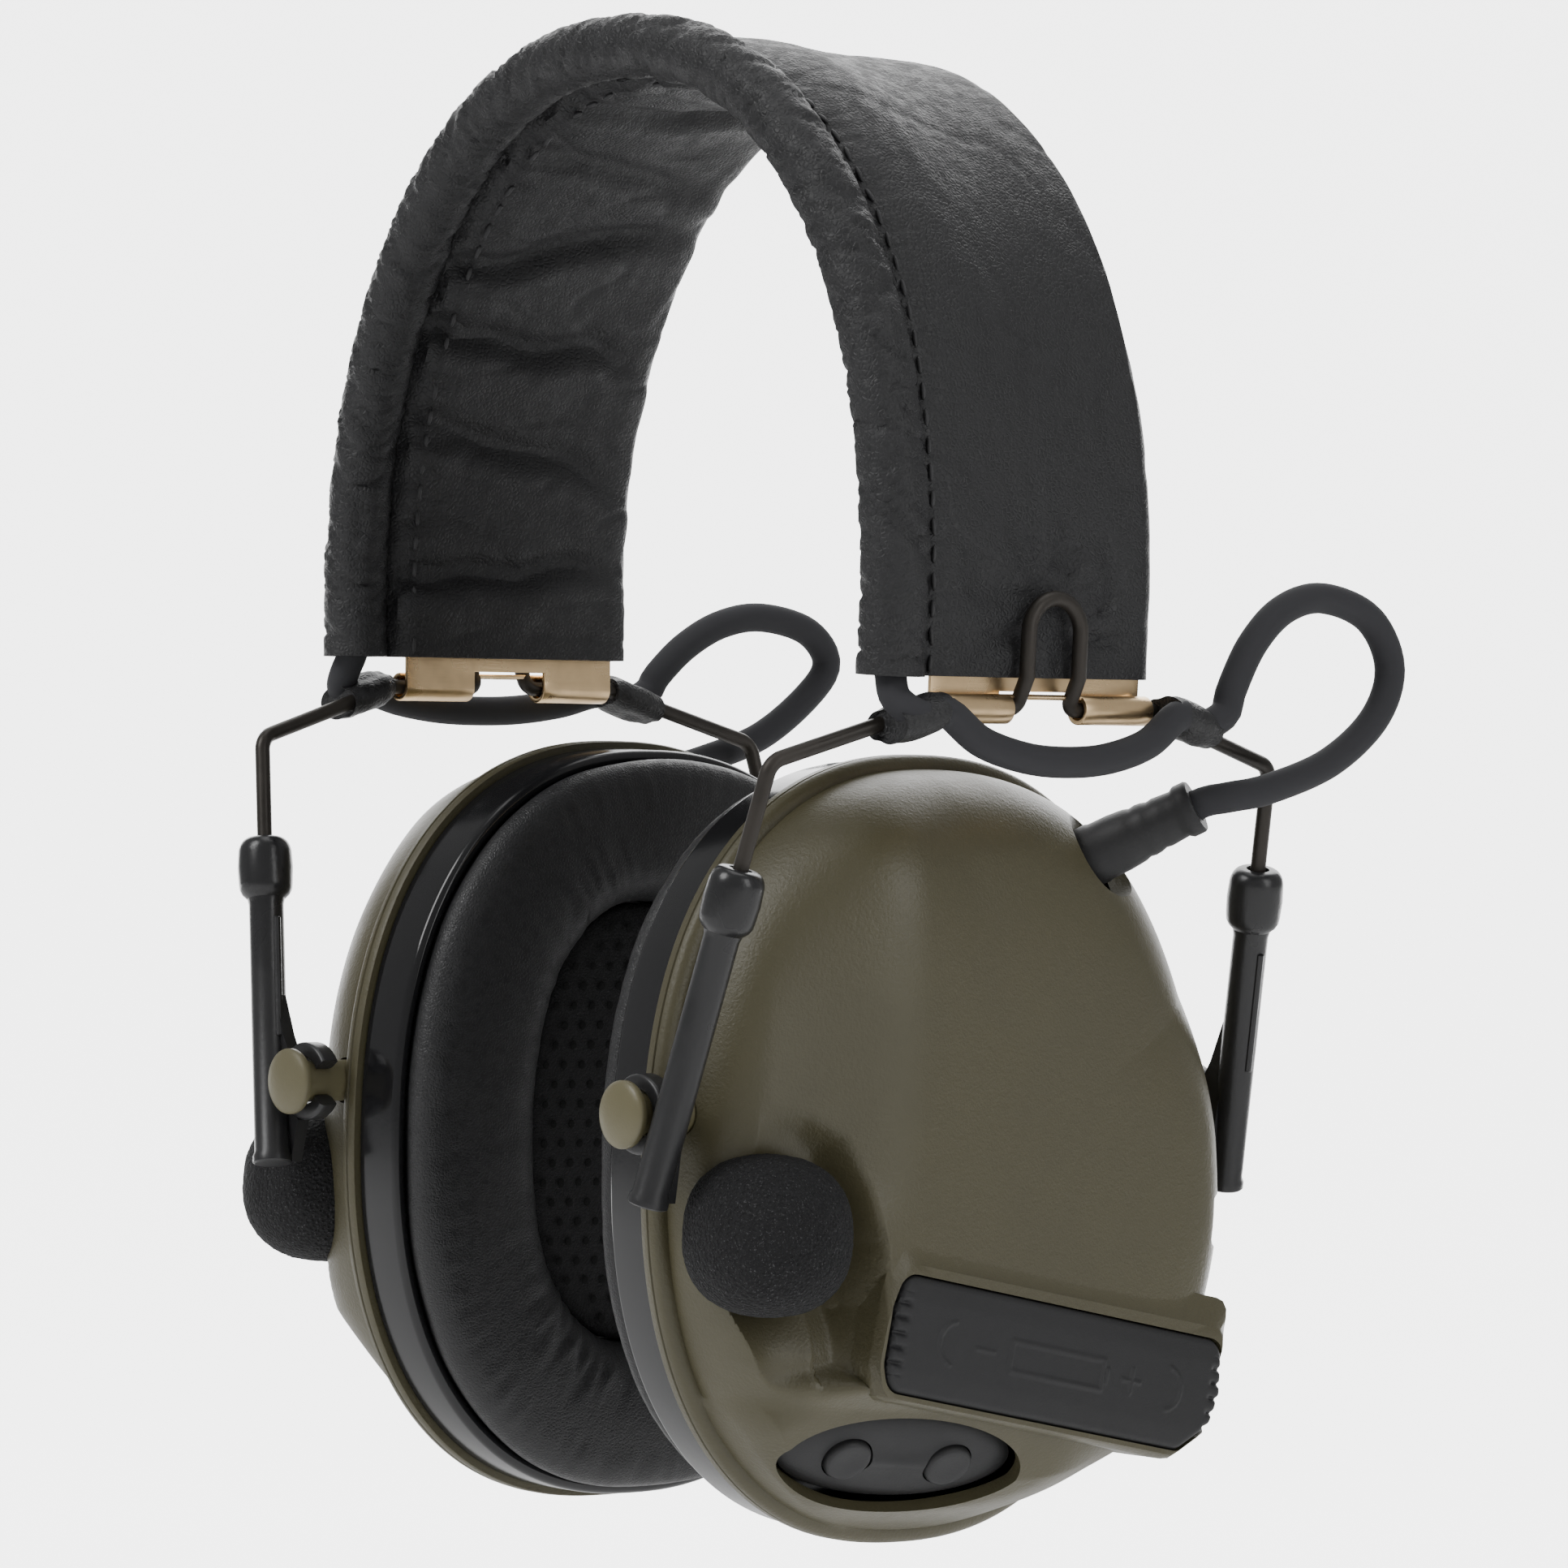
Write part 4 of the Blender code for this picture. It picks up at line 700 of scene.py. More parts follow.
def build_headband_cover():
    depth = bpy.context.scene.headset_sizes.crease_depth
    rows, columns = 430, 136
    section = cover_section(columns)
    slope = np.roll(section, -1, axis=0) - np.roll(section, 1, axis=0)
    away = np.stack([slope[:, 1], -slope[:, 0]], 1) / np.linalg.norm(slope, axis=1)[:, None]
    places, normals, runs = arch_line(rows)
    total = runs[-1]
    loops = []
    for place, normal, run in zip(places, normals, runs):
        hem = min(run, total - run)
        flare = 0.0002 * math.exp(-hem / 0.0015)
        loop = []
        for (y, lift), (out_y, out_lift) in zip(section, away):
            fold = (leather_fold(run, total, y, lift, depth) + flare) * min(1.0, 0.35 + hem / 0.004)
            loop.append(band_place(place, normal, y + out_y * fold, lift + out_lift * fold))
        loops.append(loop)
    hollow = cover_hollow(columns)
    places, normals, _ = arch_line(90)
    back = [[band_place(place, normal, y, lift) for y, lift in hollow]
            for place, normal in zip(places[::-1], normals[::-1])]
    cover = solid("headband_cover", skin(loops + back, ring=True), leather_finish(), sharp=50.0)
    fit(cover, "headband", "leather", "headband_cover")


def stitch_tree():
    """Small rounded stitches along a line, each turned a little by chance."""
    tree = bpy.data.node_groups.new("stitch_row", "GeometryNodeTree")
    for label, kind, value in (("Geometry", "NodeSocketGeometry", None),
                               ("Spacing", "NodeSocketFloat", 0.0034),
                               ("Length", "NodeSocketFloat", 0.0024),
                               ("Thickness", "NodeSocketFloat", THREAD),
                               ("Seed", "NodeSocketInt", 5),
                               ("Material", "NodeSocketMaterial", None)):
        socket = tree.interface.new_socket(label, in_out="INPUT", socket_type=kind)
        if value is not None:
            socket.default_value = value
    tree.interface.new_socket("Geometry", in_out="OUTPUT", socket_type="NodeSocketGeometry")
    new = tree.nodes.new
    entry, leave = new("NodeGroupInput"), new("NodeGroupOutput")
    curve, spread = new("GeometryNodeMeshToCurve"), new("GeometryNodeCurveToPoints")
    spread.mode = "LENGTH"
    bead, size = new("GeometryNodeMeshUVSphere"), new("ShaderNodeCombineXYZ")
    bead.inputs["Segments"].default_value = 8
    bead.inputs["Rings"].default_value = 5
    bead.inputs["Radius"].default_value = 0.5
    shape, align = new("GeometryNodeTransform"), new("FunctionNodeAlignRotationToVector")
    align.axis = "X"
    chance, lean = new("FunctionNodeRandomValue"), new("FunctionNodeRotateRotation")
    chance.data_type = "FLOAT_VECTOR"
    chance.inputs[0].default_value = (-0.10, -0.16, -0.10)
    chance.inputs[1].default_value = (0.10, 0.16, 0.10)
    copies, real = new("GeometryNodeInstanceOnPoints"), new("GeometryNodeRealizeInstances")
    soft, paint = new("GeometryNodeSetShadeSmooth"), new("GeometryNodeSetMaterial")
    wire_up(tree, [
        (entry.outputs["Geometry"], curve.inputs["Mesh"]),
        (curve.outputs["Curve"], spread.inputs["Curve"]),
        (entry.outputs["Spacing"], spread.inputs["Length"]),
        (entry.outputs["Length"], size.inputs["X"]),
        (entry.outputs["Thickness"], size.inputs["Y"]),
        (entry.outputs["Thickness"], size.inputs["Z"]),
        (bead.outputs["Mesh"], shape.inputs["Geometry"]),
        (size.outputs["Vector"], shape.inputs["Scale"]),
        (spread.outputs["Tangent"], align.inputs["Vector"]),
        (entry.outputs["Seed"], chance.inputs["Seed"]),
        (align.outputs["Rotation"], lean.inputs["Rotation"]),
        (chance.outputs["Value"], lean.inputs["Rotate By"]),
        (spread.outputs["Points"], copies.inputs["Points"]),
        (shape.outputs["Geometry"], copies.inputs["Instance"]),
        (lean.outputs["Rotation"], copies.inputs["Rotation"]),
        (copies.outputs["Instances"], real.inputs["Geometry"]),
        (real.outputs["Geometry"], soft.inputs["Geometry"]),
        (soft.outputs["Geometry"], paint.inputs["Geometry"]),
        (entry.outputs["Material"], paint.inputs["Material"]),
        (paint.outputs["Geometry"], leave.inputs["Geometry"]),
    ])
    return tree


def hole_tree():
    """A flat round disc at each point, facing along X, standing in for a hole."""
    tree = bpy.data.node_groups.new("liner_holes", "GeometryNodeTree")
    for label, kind in (("Geometry", "NodeSocketGeometry"), ("Radius", "NodeSocketFloat"),
                        ("Spread", "NodeSocketFloat"), ("Seed", "NodeSocketInt"),
                        ("Material", "NodeSocketMaterial")):
        tree.interface.new_socket(label, in_out="INPUT", socket_type=kind)
    tree.interface.new_socket("Geometry", in_out="OUTPUT", socket_type="NodeSocketGeometry")
    new = tree.nodes.new
    entry, leave = new("NodeGroupInput"), new("NodeGroupOutput")
    points, disc = new("GeometryNodeMeshToPoints"), new("GeometryNodeMeshUVSphere")
    disc.inputs["Segments"].default_value = 10
    disc.inputs["Rings"].default_value = 4
    shape, chance = new("GeometryNodeTransform"), new("FunctionNodeRandomValue")
    shape.inputs["Scale"].default_value = (0.16, 1.0, 1.0)
    low = new("ShaderNodeMath")
    low.operation = "SUBTRACT"
    low.inputs[0].default_value = 1.0
    copies, real = new("GeometryNodeInstanceOnPoints"), new("GeometryNodeRealizeInstances")
    paint = new("GeometryNodeSetMaterial")
    random_in = [socket for socket in chance.inputs if socket.enabled]
    wire_up(tree, [
        (entry.outputs["Geometry"], points.inputs["Mesh"]),
        (entry.outputs["Radius"], disc.inputs["Radius"]),
        (disc.outputs["Mesh"], shape.inputs["Geometry"]),
        (entry.outputs["Spread"], low.inputs[1]),
        (low.outputs[0], random_in[0]),
        (entry.outputs["Seed"], chance.inputs["Seed"]),
        (points.outputs["Points"], copies.inputs["Points"]),
        (shape.outputs["Geometry"], copies.inputs["Instance"]),
        ([socket for socket in chance.outputs if socket.enabled][0], copies.inputs["Scale"]),
        (copies.outputs["Instances"], real.inputs["Geometry"]),
        (real.outputs["Geometry"], paint.inputs["Geometry"]),
        (entry.outputs["Material"], paint.inputs["Material"]),
        (paint.outputs["Geometry"], leave.inputs["Geometry"]),
    ])
    return tree


def grown(name, tree, points, edges, values):
    """A plain mesh of what a geometry tree makes from points and edges."""
    mesh = bpy.data.meshes.new(name)
    mesh.from_pydata([tuple(p) for p in points], edges, [])
    piece = bpy.data.objects.new(name, mesh)
    bpy.context.scene.collection.objects.link(piece)
    modifier = piece.modifiers.new(tree.name, "NODES")
    modifier.node_group = tree
    sockets = {item.name: item.identifier for item in tree.interface.items_tree if item.in_out == "INPUT"}
    for label, value in values.items():
        modifier[sockets[label]] = value
    baked(piece)
    if not piece.data.polygons:
        raise RuntimeError(f"{name} came out empty")
    return piece


def build_stitches():
    sizes = bpy.context.scene.headset_sizes
    tree = stitch_tree()
    for label, y, lift in (("outer", -0.0187, 0.00135), ("inner", -0.0187, -0.00320)):
        places, normals, runs = arch_line(300, HEM + 0.0015)
        lifts = [lift + (plump(min(run, runs[-1] - run), y) if lift > 0 else 0.0) for run in runs]
        line = [band_place(place, normal, y, up) for place, normal, up in zip(places, normals, lifts)]
        row = grown(f"headband_stitches_{label}", tree, line, [(k, k + 1) for k in range(len(line) - 1)],
                    {"Spacing": sizes.stitch_spacing, "Length": sizes.stitch_length, "Thickness": THREAD,
                     "Seed": 5, "Material": thread_finish()})
        fit(row, "headband", "leather")


def build_spring():
    """The gilt strip with its notch and curls at each end."""
    curl = [(HINGE_X + 0.0016 * math.cos(a), 0.0016 * math.sin(a))
            for a in np.linspace(math.radians(455), math.pi, 26)]
    body = [(p[0], p[1] - HINGE_Z) for p in arch_line(160, 0.0008)[0]]
    line = curl + body + [(-x, z) for x, z in reversed(curl)]
    xz = np.array(line)
    step = np.gradient(xz, axis=0)
    normal = np.stack([step[:, 1], -step[:, 0]], 1) / np.linalg.norm(step, axis=1)[:, None]
    half = 0.0175
    columns = np.concatenate([np.linspace(-half, -0.006, 6), np.linspace(0.006, half, 6)])
    keep, points, faces = [], [], []
    for k, (x, z) in enumerate(line):
        low = z < NOTCH_TOP and abs(x) > 0.05
        keep.append(not low)
        points += [(x, y, z + HINGE_Z) for y in columns]
    count = len(columns)
    for row in range(len(line) - 1):
        for column in range(count - 1):
            if column == 5 and not (keep[row] and keep[row + 1]):
                continue
            a = row * count + column
            faces.append((a, a + 1, a + count + 1, a + count))
    mesh = bpy.data.meshes.new("spring_band")
    mesh.from_pydata(points, [], faces)
    mesh.shade_smooth()
    mesh.materials.append(spring_finish())
    spring = bpy.data.objects.new("spring_strip", mesh)
    bpy.context.scene.collection.objects.link(spring)
    thick = spring.modifiers.new("thickness", "SOLIDIFY")
    thick.thickness = 0.0006
    thick.offset = 0.0
    edge = spring.modifiers.new("edge", "BEVEL")
    edge.width = 0.00012
    edge.segments = 2
    edge.limit_method = "ANGLE"
    baked(spring)
    spring.data.set_sharp_from_angle(angle=math.radians(40))
    fit(spring, "headband", "spring_steel", "spring_band")


# ---------------------------------------------------------------- forks, sleeves and sliders

def shoulder(reach):
    share = (reach - 0.0188) / (0.0420 - 0.0188)
    return Vector((HINGE_X - 0.0026 * share, reach, HINGE_Z - 0.0070 * share))


def leg(drop):
    run = drop - 0.0070
    return Vector((0.0525 - 0.245 * run, 0.0420 + 0.120 * run, HINGE_Z - drop))


def to_end(point, way):
    return Vector((point[0], point[1] * way, point[2]))


def build_forks():
    for label, side in SIDES:
        face = ARCH_HALF_WIDTH + 0.0029
        lift = Vector((face + 0.0002, LOOP_RADIUS, HINGE_Z + HEM))
        rear = [leg(0.0463), leg(0.0070), Vector((HINGE_X, 0.0188, HINGE_Z)),
                Vector((HINGE_X, LOOP_RADIUS, HINGE_Z)), lift]
        rear = [*rounded(rear[:3], 0.0026, 8)[:-1], *rounded(rear[1:], 0.0014, 8)[1:-1]]
        arc = [Vector((face + 0.0004, LOOP_RADIUS * math.cos(a),
                       HINGE_Z + 0.00965 + LOOP_RADIUS * math.sin(a)))
               for a in np.linspace(0, math.pi, 19)]
        line = [*rear, lift, *arc, to_end(lift, -1), *(to_end(p, -1) for p in reversed(rear))]
        wire = solid(f"fork_wire_{label}", tube(line, WIRE_RADIUS, 20), wire_finish(), side)
        fit(wire, f"fork_{label}", "black_wire", f"fork_wire_{label}")


def build_sleeves():
    """Shrink sleeves over the cable and the wire, pinched between the two."""
    for label, side in SIDES:
        for end, way in ENDS:
            start, stop = shoulder(0.0192), shoulder(0.0266)
            run = stop - start
            loops = []
            for share in np.linspace(0, 1, 15):
                swell = 0.84 + 0.16 * float(smooth(share / 0.25)) - 0.12 * float(smooth((share - 0.6) / 0.4))
                centre = start + run * share + Vector((0.00215, 0, 0))
                loop = []
                for a in np.linspace(0, 2 * math.pi, 40, endpoint=False):
                    pinch = 1 - 0.16 * math.exp(-((math.cos(a) + 0.35) / 0.28) ** 2)
                    pinch += 0.025 * math.sin(3 * a + 9 * share)
                    u = 0.0045 * math.cos(a) * swell
                    v = 0.0027 * math.sin(a) * swell * pinch
                    loop.append(to_end(centre + Vector((u, 0, v)), way))
                loops.append(loop)
            for k, inset in ((0, 0.80), (len(loops) - 1, 0.80)):
                middle = sum(loops[k], Vector()) / len(loops[k])
                rim = [middle + (p - middle) * inset for p in loops[k]]
                loops.insert(0 if k == 0 else len(loops), rim)
            name = f"cable_sleeve_{end}_{label}"
            sleeve = solid(name, skin(loops), sleeve_finish(), side)
            fit(sleeve, f"fork_{label}", "rubber", name)


def slider_shape(way):
    """Tube with a collar, a side rib, a foot, and the snap ring with its web."""
    top = to_end(leg(SLIDER_TOP), way)
    along = (to_end(leg(1), way) - to_end(leg(0), way)).normalized()
    head, pipe, bore = 0.00355, 0.0023, 0.0013
    profile = [(0, 0.0400), (bore, 0.0400), (bore, 0.0005), (bore + 0.0002, 0.0), (head * 0.60, 0.0)]
    profile += [(head * (0.60 + 0.40 * math.sin(a)), 0.0022 * (1 - math.cos(a)))
                for a in np.linspace(0.25, math.pi / 2, 7)]
    profile += [(head * 1.03, 0.0040), (head, 0.0062), (head * 0.97, 0.0070), (head * 0.88, 0.0076),
                (pipe * 1.08, 0.0082), (pipe, 0.0090), (pipe, SLIDER_LENGTH - 0.0016),
                (pipe * 1.12, SLIDER_LENGTH - 0.0010), (pipe * 1.12, SLIDER_LENGTH - 0.0002),
                (pipe * 1.02, SLIDER_LENGTH), (0, SLIDER_LENGTH)]
    body = turned(profile, top, along, 36)
    mouth = math.radians(35)
    arc = np.linspace(math.pi + mouth, 3 * math.pi - mouth, 33)
    centre = Vector((STUD_X, way * 0.0458, STUD_Z))
    loops = []
    for a in arc:
        direction = Vector((math.cos(a), 0, math.sin(a)))
        loop = []
        for u, w in soft_outline([(0.0030, -0.0012), (0.0051, -0.0012), (0.0051, 0.0015), (0.0030, 0.0015)],
                                 0.0005, 4):
            loop.append(centre + direction * u + Vector((0, way * w, 0)))
        loops.append(loop)
    ring = skin(loops)
    place = Matrix.Translation(centre) @ Matrix.Rotation(math.pi / 2, 4, "X")
    web = slab([(0.0034, -0.0026), (0.0016, -0.0052), (0.0030, -0.0108), (0.0052, -0.0108), (0.0068, 0.0),
                (0.0092, 0.0116), (0.0074, 0.0108), (0.0052, 0.0056), (0.0034, 0.0026)],
               -0.0009, 0.0009, place)
    inner = along.cross(Vector((0, way, 0))).normalized()
    rib_line = [top + along * s + inner * 0.0022 for s in np.linspace(0.0110, 0.0270, 12)]
    rib = tube(rib_line, 0.00055, 10)
    return joined(body, ring, web, rib)


def build_sliders():
    for label, side in SIDES:
        for end, way in ENDS:
            name = f"slider_{end}_{label}"
            slider = solid(name, slider_shape(way), slider_finish(), side, 32.0)
            fit(slider, name, "black_plastic", name)


def build_studs():
    neck, rim, face = 0.0027, 0.0043, 0.0489
    profile = [(0, 0.0395), (neck, 0.0395), (neck, face), (rim - 0.0001, face), (rim, face + 0.0002)]
    profile += [(rim * math.cos(a), face + 0.0007 + 0.0010 * math.sin(a))
                for a in np.linspace(0, math.pi / 2, 10)]
    for label, side in SIDES:
        for end, way in ENDS:
            name = f"pivot_stud_{end}_{label}"
            shape = turned(profile, (STUD_X, 0, STUD_Z), (0, way, 0), 48)
            fit(solid(name, shape, stud_finish(), side, 50.0), f"pivots_{label}", "olive_shell", name)


# ---------------------------------------------------------------- ear shells

BAY = ((-46.0, 1.2), (-38.5, 1.0), (-29.0, -0.6), (-25.0, -3.2), (-22.4, -9.0), (-20.4, -16.0),
       (-19.6, -24.0), (-20.4, -33.0), (-30.0, -35.0), (-39.0, -35.4), (-47.0, -26.0))


def keypad_place():
    """Frame of the keypad: along it, up its face, and outwards."""
    tilt, turn, slope = math.radians(38), math.radians(12), math.radians(7)
    out = Vector((math.cos(tilt) * math.cos(turn), -math.cos(tilt) * math.sin(turn), -math.sin(tilt)))
    along = Vector((math.sin(turn), math.cos(turn), -math.tan(slope)))
    along = (along - out * along.dot(out)).normalized()
    place = Matrix((along, out.cross(along), out)).transposed().to_4x4()
    place.translation = (0.0420, -0.0095, STUD_Z - 0.0440)
    return place


def lid_place():
    """Frame of the battery lid: along it to the rear, across it, and outwards from x = 0."""
    slope = math.radians(11)
    along = Vector((0, math.cos(slope), -math.sin(slope)))
    across = Vector((0, math.sin(slope), math.cos(slope)))
    place = Matrix((along, across, (1, 0, 0))).transposed().to_4x4()
    place.translation = (0, 0.0090, STUD_Z - 0.0320)
    return place


def shell_face(y, z, share, power, wall=0.0, keys=True):
    """Distance of the shell's face from the middle plane, in mm. z is from the stud's height."""
    height = 18.0 - 5.0 * smooth((-y - 13.0) / 20.0) * (1 - 0.72 * smooth((-z - 6.0) / 12.0))
    below_lid = np.maximum(-32.0 - 7.4 - 0.194 * (y - 9.0) - z, 0)
    height -= 0.95 * below_lid
    x = DOME_BASE_X / MM + np.sqrt(np.maximum(1 - share**power, 0)) * height
    inside = -polygon_distance(BAY, y, z)
    bay = smooth((inside + 1.6) / 4.4)
    first, second = -37.4 + 0.107 * (z + 22.3), -25.4 + 0.15 * (z + 22.9)
    between = np.clip((y - first) / (second - first), 0, 1)
    facets = 1.0 * np.abs(2 * between - 1) ** 1.7
    facets = np.where(y < first, 1.0 - 0.45 * (first - y), facets)
    facets = np.where(y > second + 0.9, 0.55 + 0.06 * (y - second), facets)
    floor = 38.0 + 6.2 * smooth((z + 20) / 18) + 1.6 * facets * smooth((-z - 15) / 7)
    floor = floor + 5.2 * smooth((-z - 19) / 12)
    x = x - bay * np.maximum(x - floor, 0)
    if keys:
        place = keypad_place()
        along, up, out = (np.array(place.col[k][:3]) for k in range(3))
        middle = np.array(place.translation) / MM - (0, 0, STUD_Z / MM)
        plane = middle[0] - (out[1] * (y - middle[1]) + out[2] * (z - middle[2])) / out[0]
        offset = np.stack([plane - middle[0], y - middle[1], z - middle[2]], -1)
        ellipse = np.hypot(offset @ along / 16.5, offset @ up / 6.2)
        rim = plane + (1.5 - 0.14 * np.clip(offset @ up, -8.0, 8.0)) / out[0]
        near = 1 - smooth((ellipse - 1.30) / 0.75)
        x = x + near * np.clip(rim - x, -4.0, 4.0)
    return x - wall


def outline(turn, half):
    c, s = np.cos(turn), np.sin(turn)
    power = 2 / OUTLINE_POWER
    return (half[0] / MM * np.sign(c) * np.abs(c) ** power, half[1] / MM * np.sign(s) * np.abs(s) ** power)


def shell_loops(label, count):
    """Rings from the middle of the face to its edge, round the flange and back inside."""
    rings = bpy.context.scene.headset_sizes.shell_rings
    turn = np.arange(count) * 2 * math.pi / count
    keys = label == "left"
    cup_z = (CUP_Z - STUD_Z) / MM
    edge_y, edge_z = outline(turn, DOME_HALF)
    degrees = (np.degrees(turn) + 180) % 360 - 180
    heel = np.interp(degrees, (-100, -80, -60, -40, -6, 8, 20, 34, 60, 90),
                     (0, 0.25, 0.75, 1.0, 1.0, 0.55, 0.05, -0.25, -0.15, 0))
    heel = np.convolve(np.concatenate([heel[-12:], heel, heel[:12]]), np.ones(25) / 25, "valid")
    notch = smooth((degrees + 13.4) / 1.2) * (1 - smooth((degrees + 6.8) / 1.2))
    front = smooth((np.abs(degrees) - 95) / 30)
    power = 6.0 + 7.0 * np.maximum(heel, 0) + 4.0 * front
    loops = []
    for step in range(1, rings + 1):
        share = 1 - (1 - step / rings) ** 1.5
        wall = float(smooth((share - 0.55) / 0.30)) * (1 - float(smooth((share - 0.955) / 0.045)))
        dent = float(smooth((share - 0.86) / 0.04)) * (1 - float(smooth((share - 0.975) / 0.025)))
        y, z = share * edge_y + 2.6 * heel * wall - 2.0 * notch * dent, cup_z + share * edge_z
        x = shell_face(y, z, np.full(count, share), power, 0.0, keys)
        loops.append(np.stack([x, y, z], 1))
    for grow, x in ((0.35, 32.88), (0.9, 32.72), (1.45, 32.35), (1.75, 31.9), (1.8, 31.3), (1.5, 31.1),
                    (1.8, 30.9), (1.8, 29.95), (1.65, 29.7), (-2.0, 29.7)):
        y, z = outline(turn, (DOME_HALF[0] + grow * MM, DOME_HALF[1] + grow * MM))
        loops.append(np.stack([np.full(count, x), y, cup_z + z], 1))
    inner_y, inner_z = outline(turn, (DOME_HALF[0] - 2 * MM, DOME_HALF[1] - 2 * MM))
    for share in (0.999, 0.985, 0.96, 0.93, 0.89, 0.84, 0.78, 0.70, 0.6, 0.48, 0.34, 0.2, 0.08):
        y, z = share * inner_y, cup_z + share * inner_z
        x = np.maximum(shell_face(y, z, np.full(count, share), power, 2.0, keys), 29.9)
        loops.append(np.stack([x, y, z], 1))
    return [loop * MM + (0, 0, STUD_Z) for loop in loops]


LID_OUTLINE = ((-27.4, 7.5), (-28.5, 3.0), (-28.5, -4.2), (-27.2, -7.5), (22.8, -7.5), (27.6, -3.4),
               (28.5, 0.8), (27.4, 7.5))
LID_CORNER = 2.6


def scaled(points, factor=MM):
    return [(u * factor, v * factor) for u, v in points]


def build_shells():
    lid, keys = lid_place(), keypad_place()
    shift = Matrix.Translation(Vector(lid.col[0][:3]) * -0.0035)
    for label, side in SIDES:
        shell = solid(f"cup_shell_{label}", skin(shell_loops(label, 480)), shell_finish(), side)
        block = soft_outline(scaled(((-28.4, 12.8), (-30.0, 7.0), (-30.0, -4.6), (-28.2, -8.7),
                                     (22.4, -8.9), (27.4, -5.0), (28.6, 1.0), (28.8, 13.0))), 0.0020, 6)
        crest = soft_outline(scaled(((-27.6, 8.9), (-29.2, 2.0), (-29.4, -4.6), (-27.8, -8.3),
                                     (22.2, -8.3), (26.9, -4.6), (28.0, 1.0), (27.8, 9.2))), 0.0018, 6)
        block, crest = resampled(block, 120), resampled(crest, 120)
        loops = [(block, 0.0405), (block, 0.0497), (block * 0.998, 0.0502), (crest, 0.0514),
                 (crest * 0.988, 0.0515)]
        steps = [("UNION", skin([[lid @ Vector((u, v, w)) for u, v in ring] for ring, w in loops]))]
        seat = soft_outline(scaled(LID_OUTLINE, 1.014 * MM), LID_CORNER * MM, 6)
        steps.append(("DIFFERENCE", slab(seat, LID_SEAT_X, LID_SEAT_X + 0.02, lid)))
        pocket = soft_outline(scaled(((-22.6, 5.6), (-22.6, -5.6), (22.6, -5.6), (22.6, 5.6))), 0.001, 3)
        steps.append(("DIFFERENCE", slab(pocket, LID_SEAT_X - 0.0111, LID_SEAT_X + 0.01, shift @ lid)))
        ball = [(0.0103 * math.sin(a), -0.0103 * math.cos(a)) for a in np.linspace(0, math.pi, 25)]
        steps.append(("DIFFERENCE", turned(ball, MIC_CENTRE, (1, 0, 0), 56)))
        way = (GLAND_TIP - GLAND_BASE).normalized()
        scoop = [(0, -0.0016), (0.0042, -0.0014), (0.0058, -0.0006), (0.0066, 0.0010), (0.0068, 0.0040),
                 (0.0078, 0.0200), (0, 0.0200)]
        steps.append(("DIFFERENCE", turned(scoop, GLAND_BASE, way, 48)))
        for end, sign in ENDS:
            hole = [(0, 0.0392), (0.0030, 0.0392), (0.0030, 0.0460), (0, 0.0460)]
            steps.append(("DIFFERENCE", turned(hole, (STUD_X, 0, STUD_Z), (0, sign, 0), 32)))
        if label == "left":
            oval = [(0.0178 * math.cos(a), 0.0076 * math.sin(a))
                    for a in np.linspace(0, 2 * math.pi, 72, False)]
            steps.append(("DIFFERENCE", slab(oval, -0.0038, 0.0110, keys)))
            plug = [(0, 0.0340), (0.0045, 0.0340), (0.0045, 0.0600), (0, 0.0600)]
            steps.append(("DIFFERENCE", turned(plug, (PLUG_X, 0, PLUG_Z), (0, 1, 0), 40)))
        carve(shell, steps, side, 34.0)
        fit(shell, f"cup_{label}", "olive_shell", f"cup_shell_{label}")
        pip = [(0.0010, -0.0006), (0.0010, 0.0), (0.0008, 0.0003), (0, 0.00035)]
        place = lid @ Vector((-0.0193, 0.0105, 0.05065))
        mark = turned([(0, -0.0006), *pip], place, (1, 0, 0.25), 24)
        fit(solid(f"shell_pip_{label}", mark, shell_finish(), side), f"cup_{label}", "olive_shell")


# ---------------------------------------------------------------- ear side

def oval_ring(section, count):
    """A (grow y, grow z, x) section in metres swept round the cup's oval."""
    turn = np.arange(count) * 2 * math.pi / count
    loops = []
    for half_y, half_z, x in section:
        y, z = outline(turn, (half_y, half_z))
        loops.append(np.stack([np.full(count, x), y * MM, CUP_Z + z * MM], 1))
    return np.stack(loops)


def build_base_plates():
    """Glossy plate with a rounded lip that holds the cushion."""
    for label, side in SIDES:
        section = [(0.0415, 0.0495, 0.0294)]
        section += [(0.0415 - 0.0010 * (1 - math.cos(a)), 0.0495 - 0.0010 * (1 - math.cos(a)),
                     0.0230 - 0.0010 * math.sin(a)) for a in np.linspace(0, math.pi, 11)]
        section += [(0.0395, 0.0475, 0.0236), (0.0395, 0.0475, 0.0270), (0.0150, 0.0230, 0.0270),
                    (0.0150, 0.0230, 0.0294)]
        rings = oval_ring(section, 220)
        plate = solid(f"base_plate_{label}", skin(list(rings), ring=True), plate_finish(), side, 45.0)
        fit(plate, f"cup_{label}", "gloss_plastic", f"base_plate_{label}")


CUSHION_SECTION = ((39.0, 47.0, 26.7), (39.1, 47.1, 24.0), (39.4, 47.4, 22.4), (40.1, 48.1, 21.0),
                   (40.3, 48.3, 19.8), (39.6, 47.6, 18.4), (37.8, 45.8, 17.4), (35.0, 43.0, 17.0),
                   (31.5, 39.6, 16.8), (27.6, 36.4, 16.9), (24.2, 33.6, 17.4), (21.6, 31.4, 18.8),
                   (20.0, 30.0, 20.8), (19.4, 29.4, 23.2), (19.3, 29.3, 26.7))


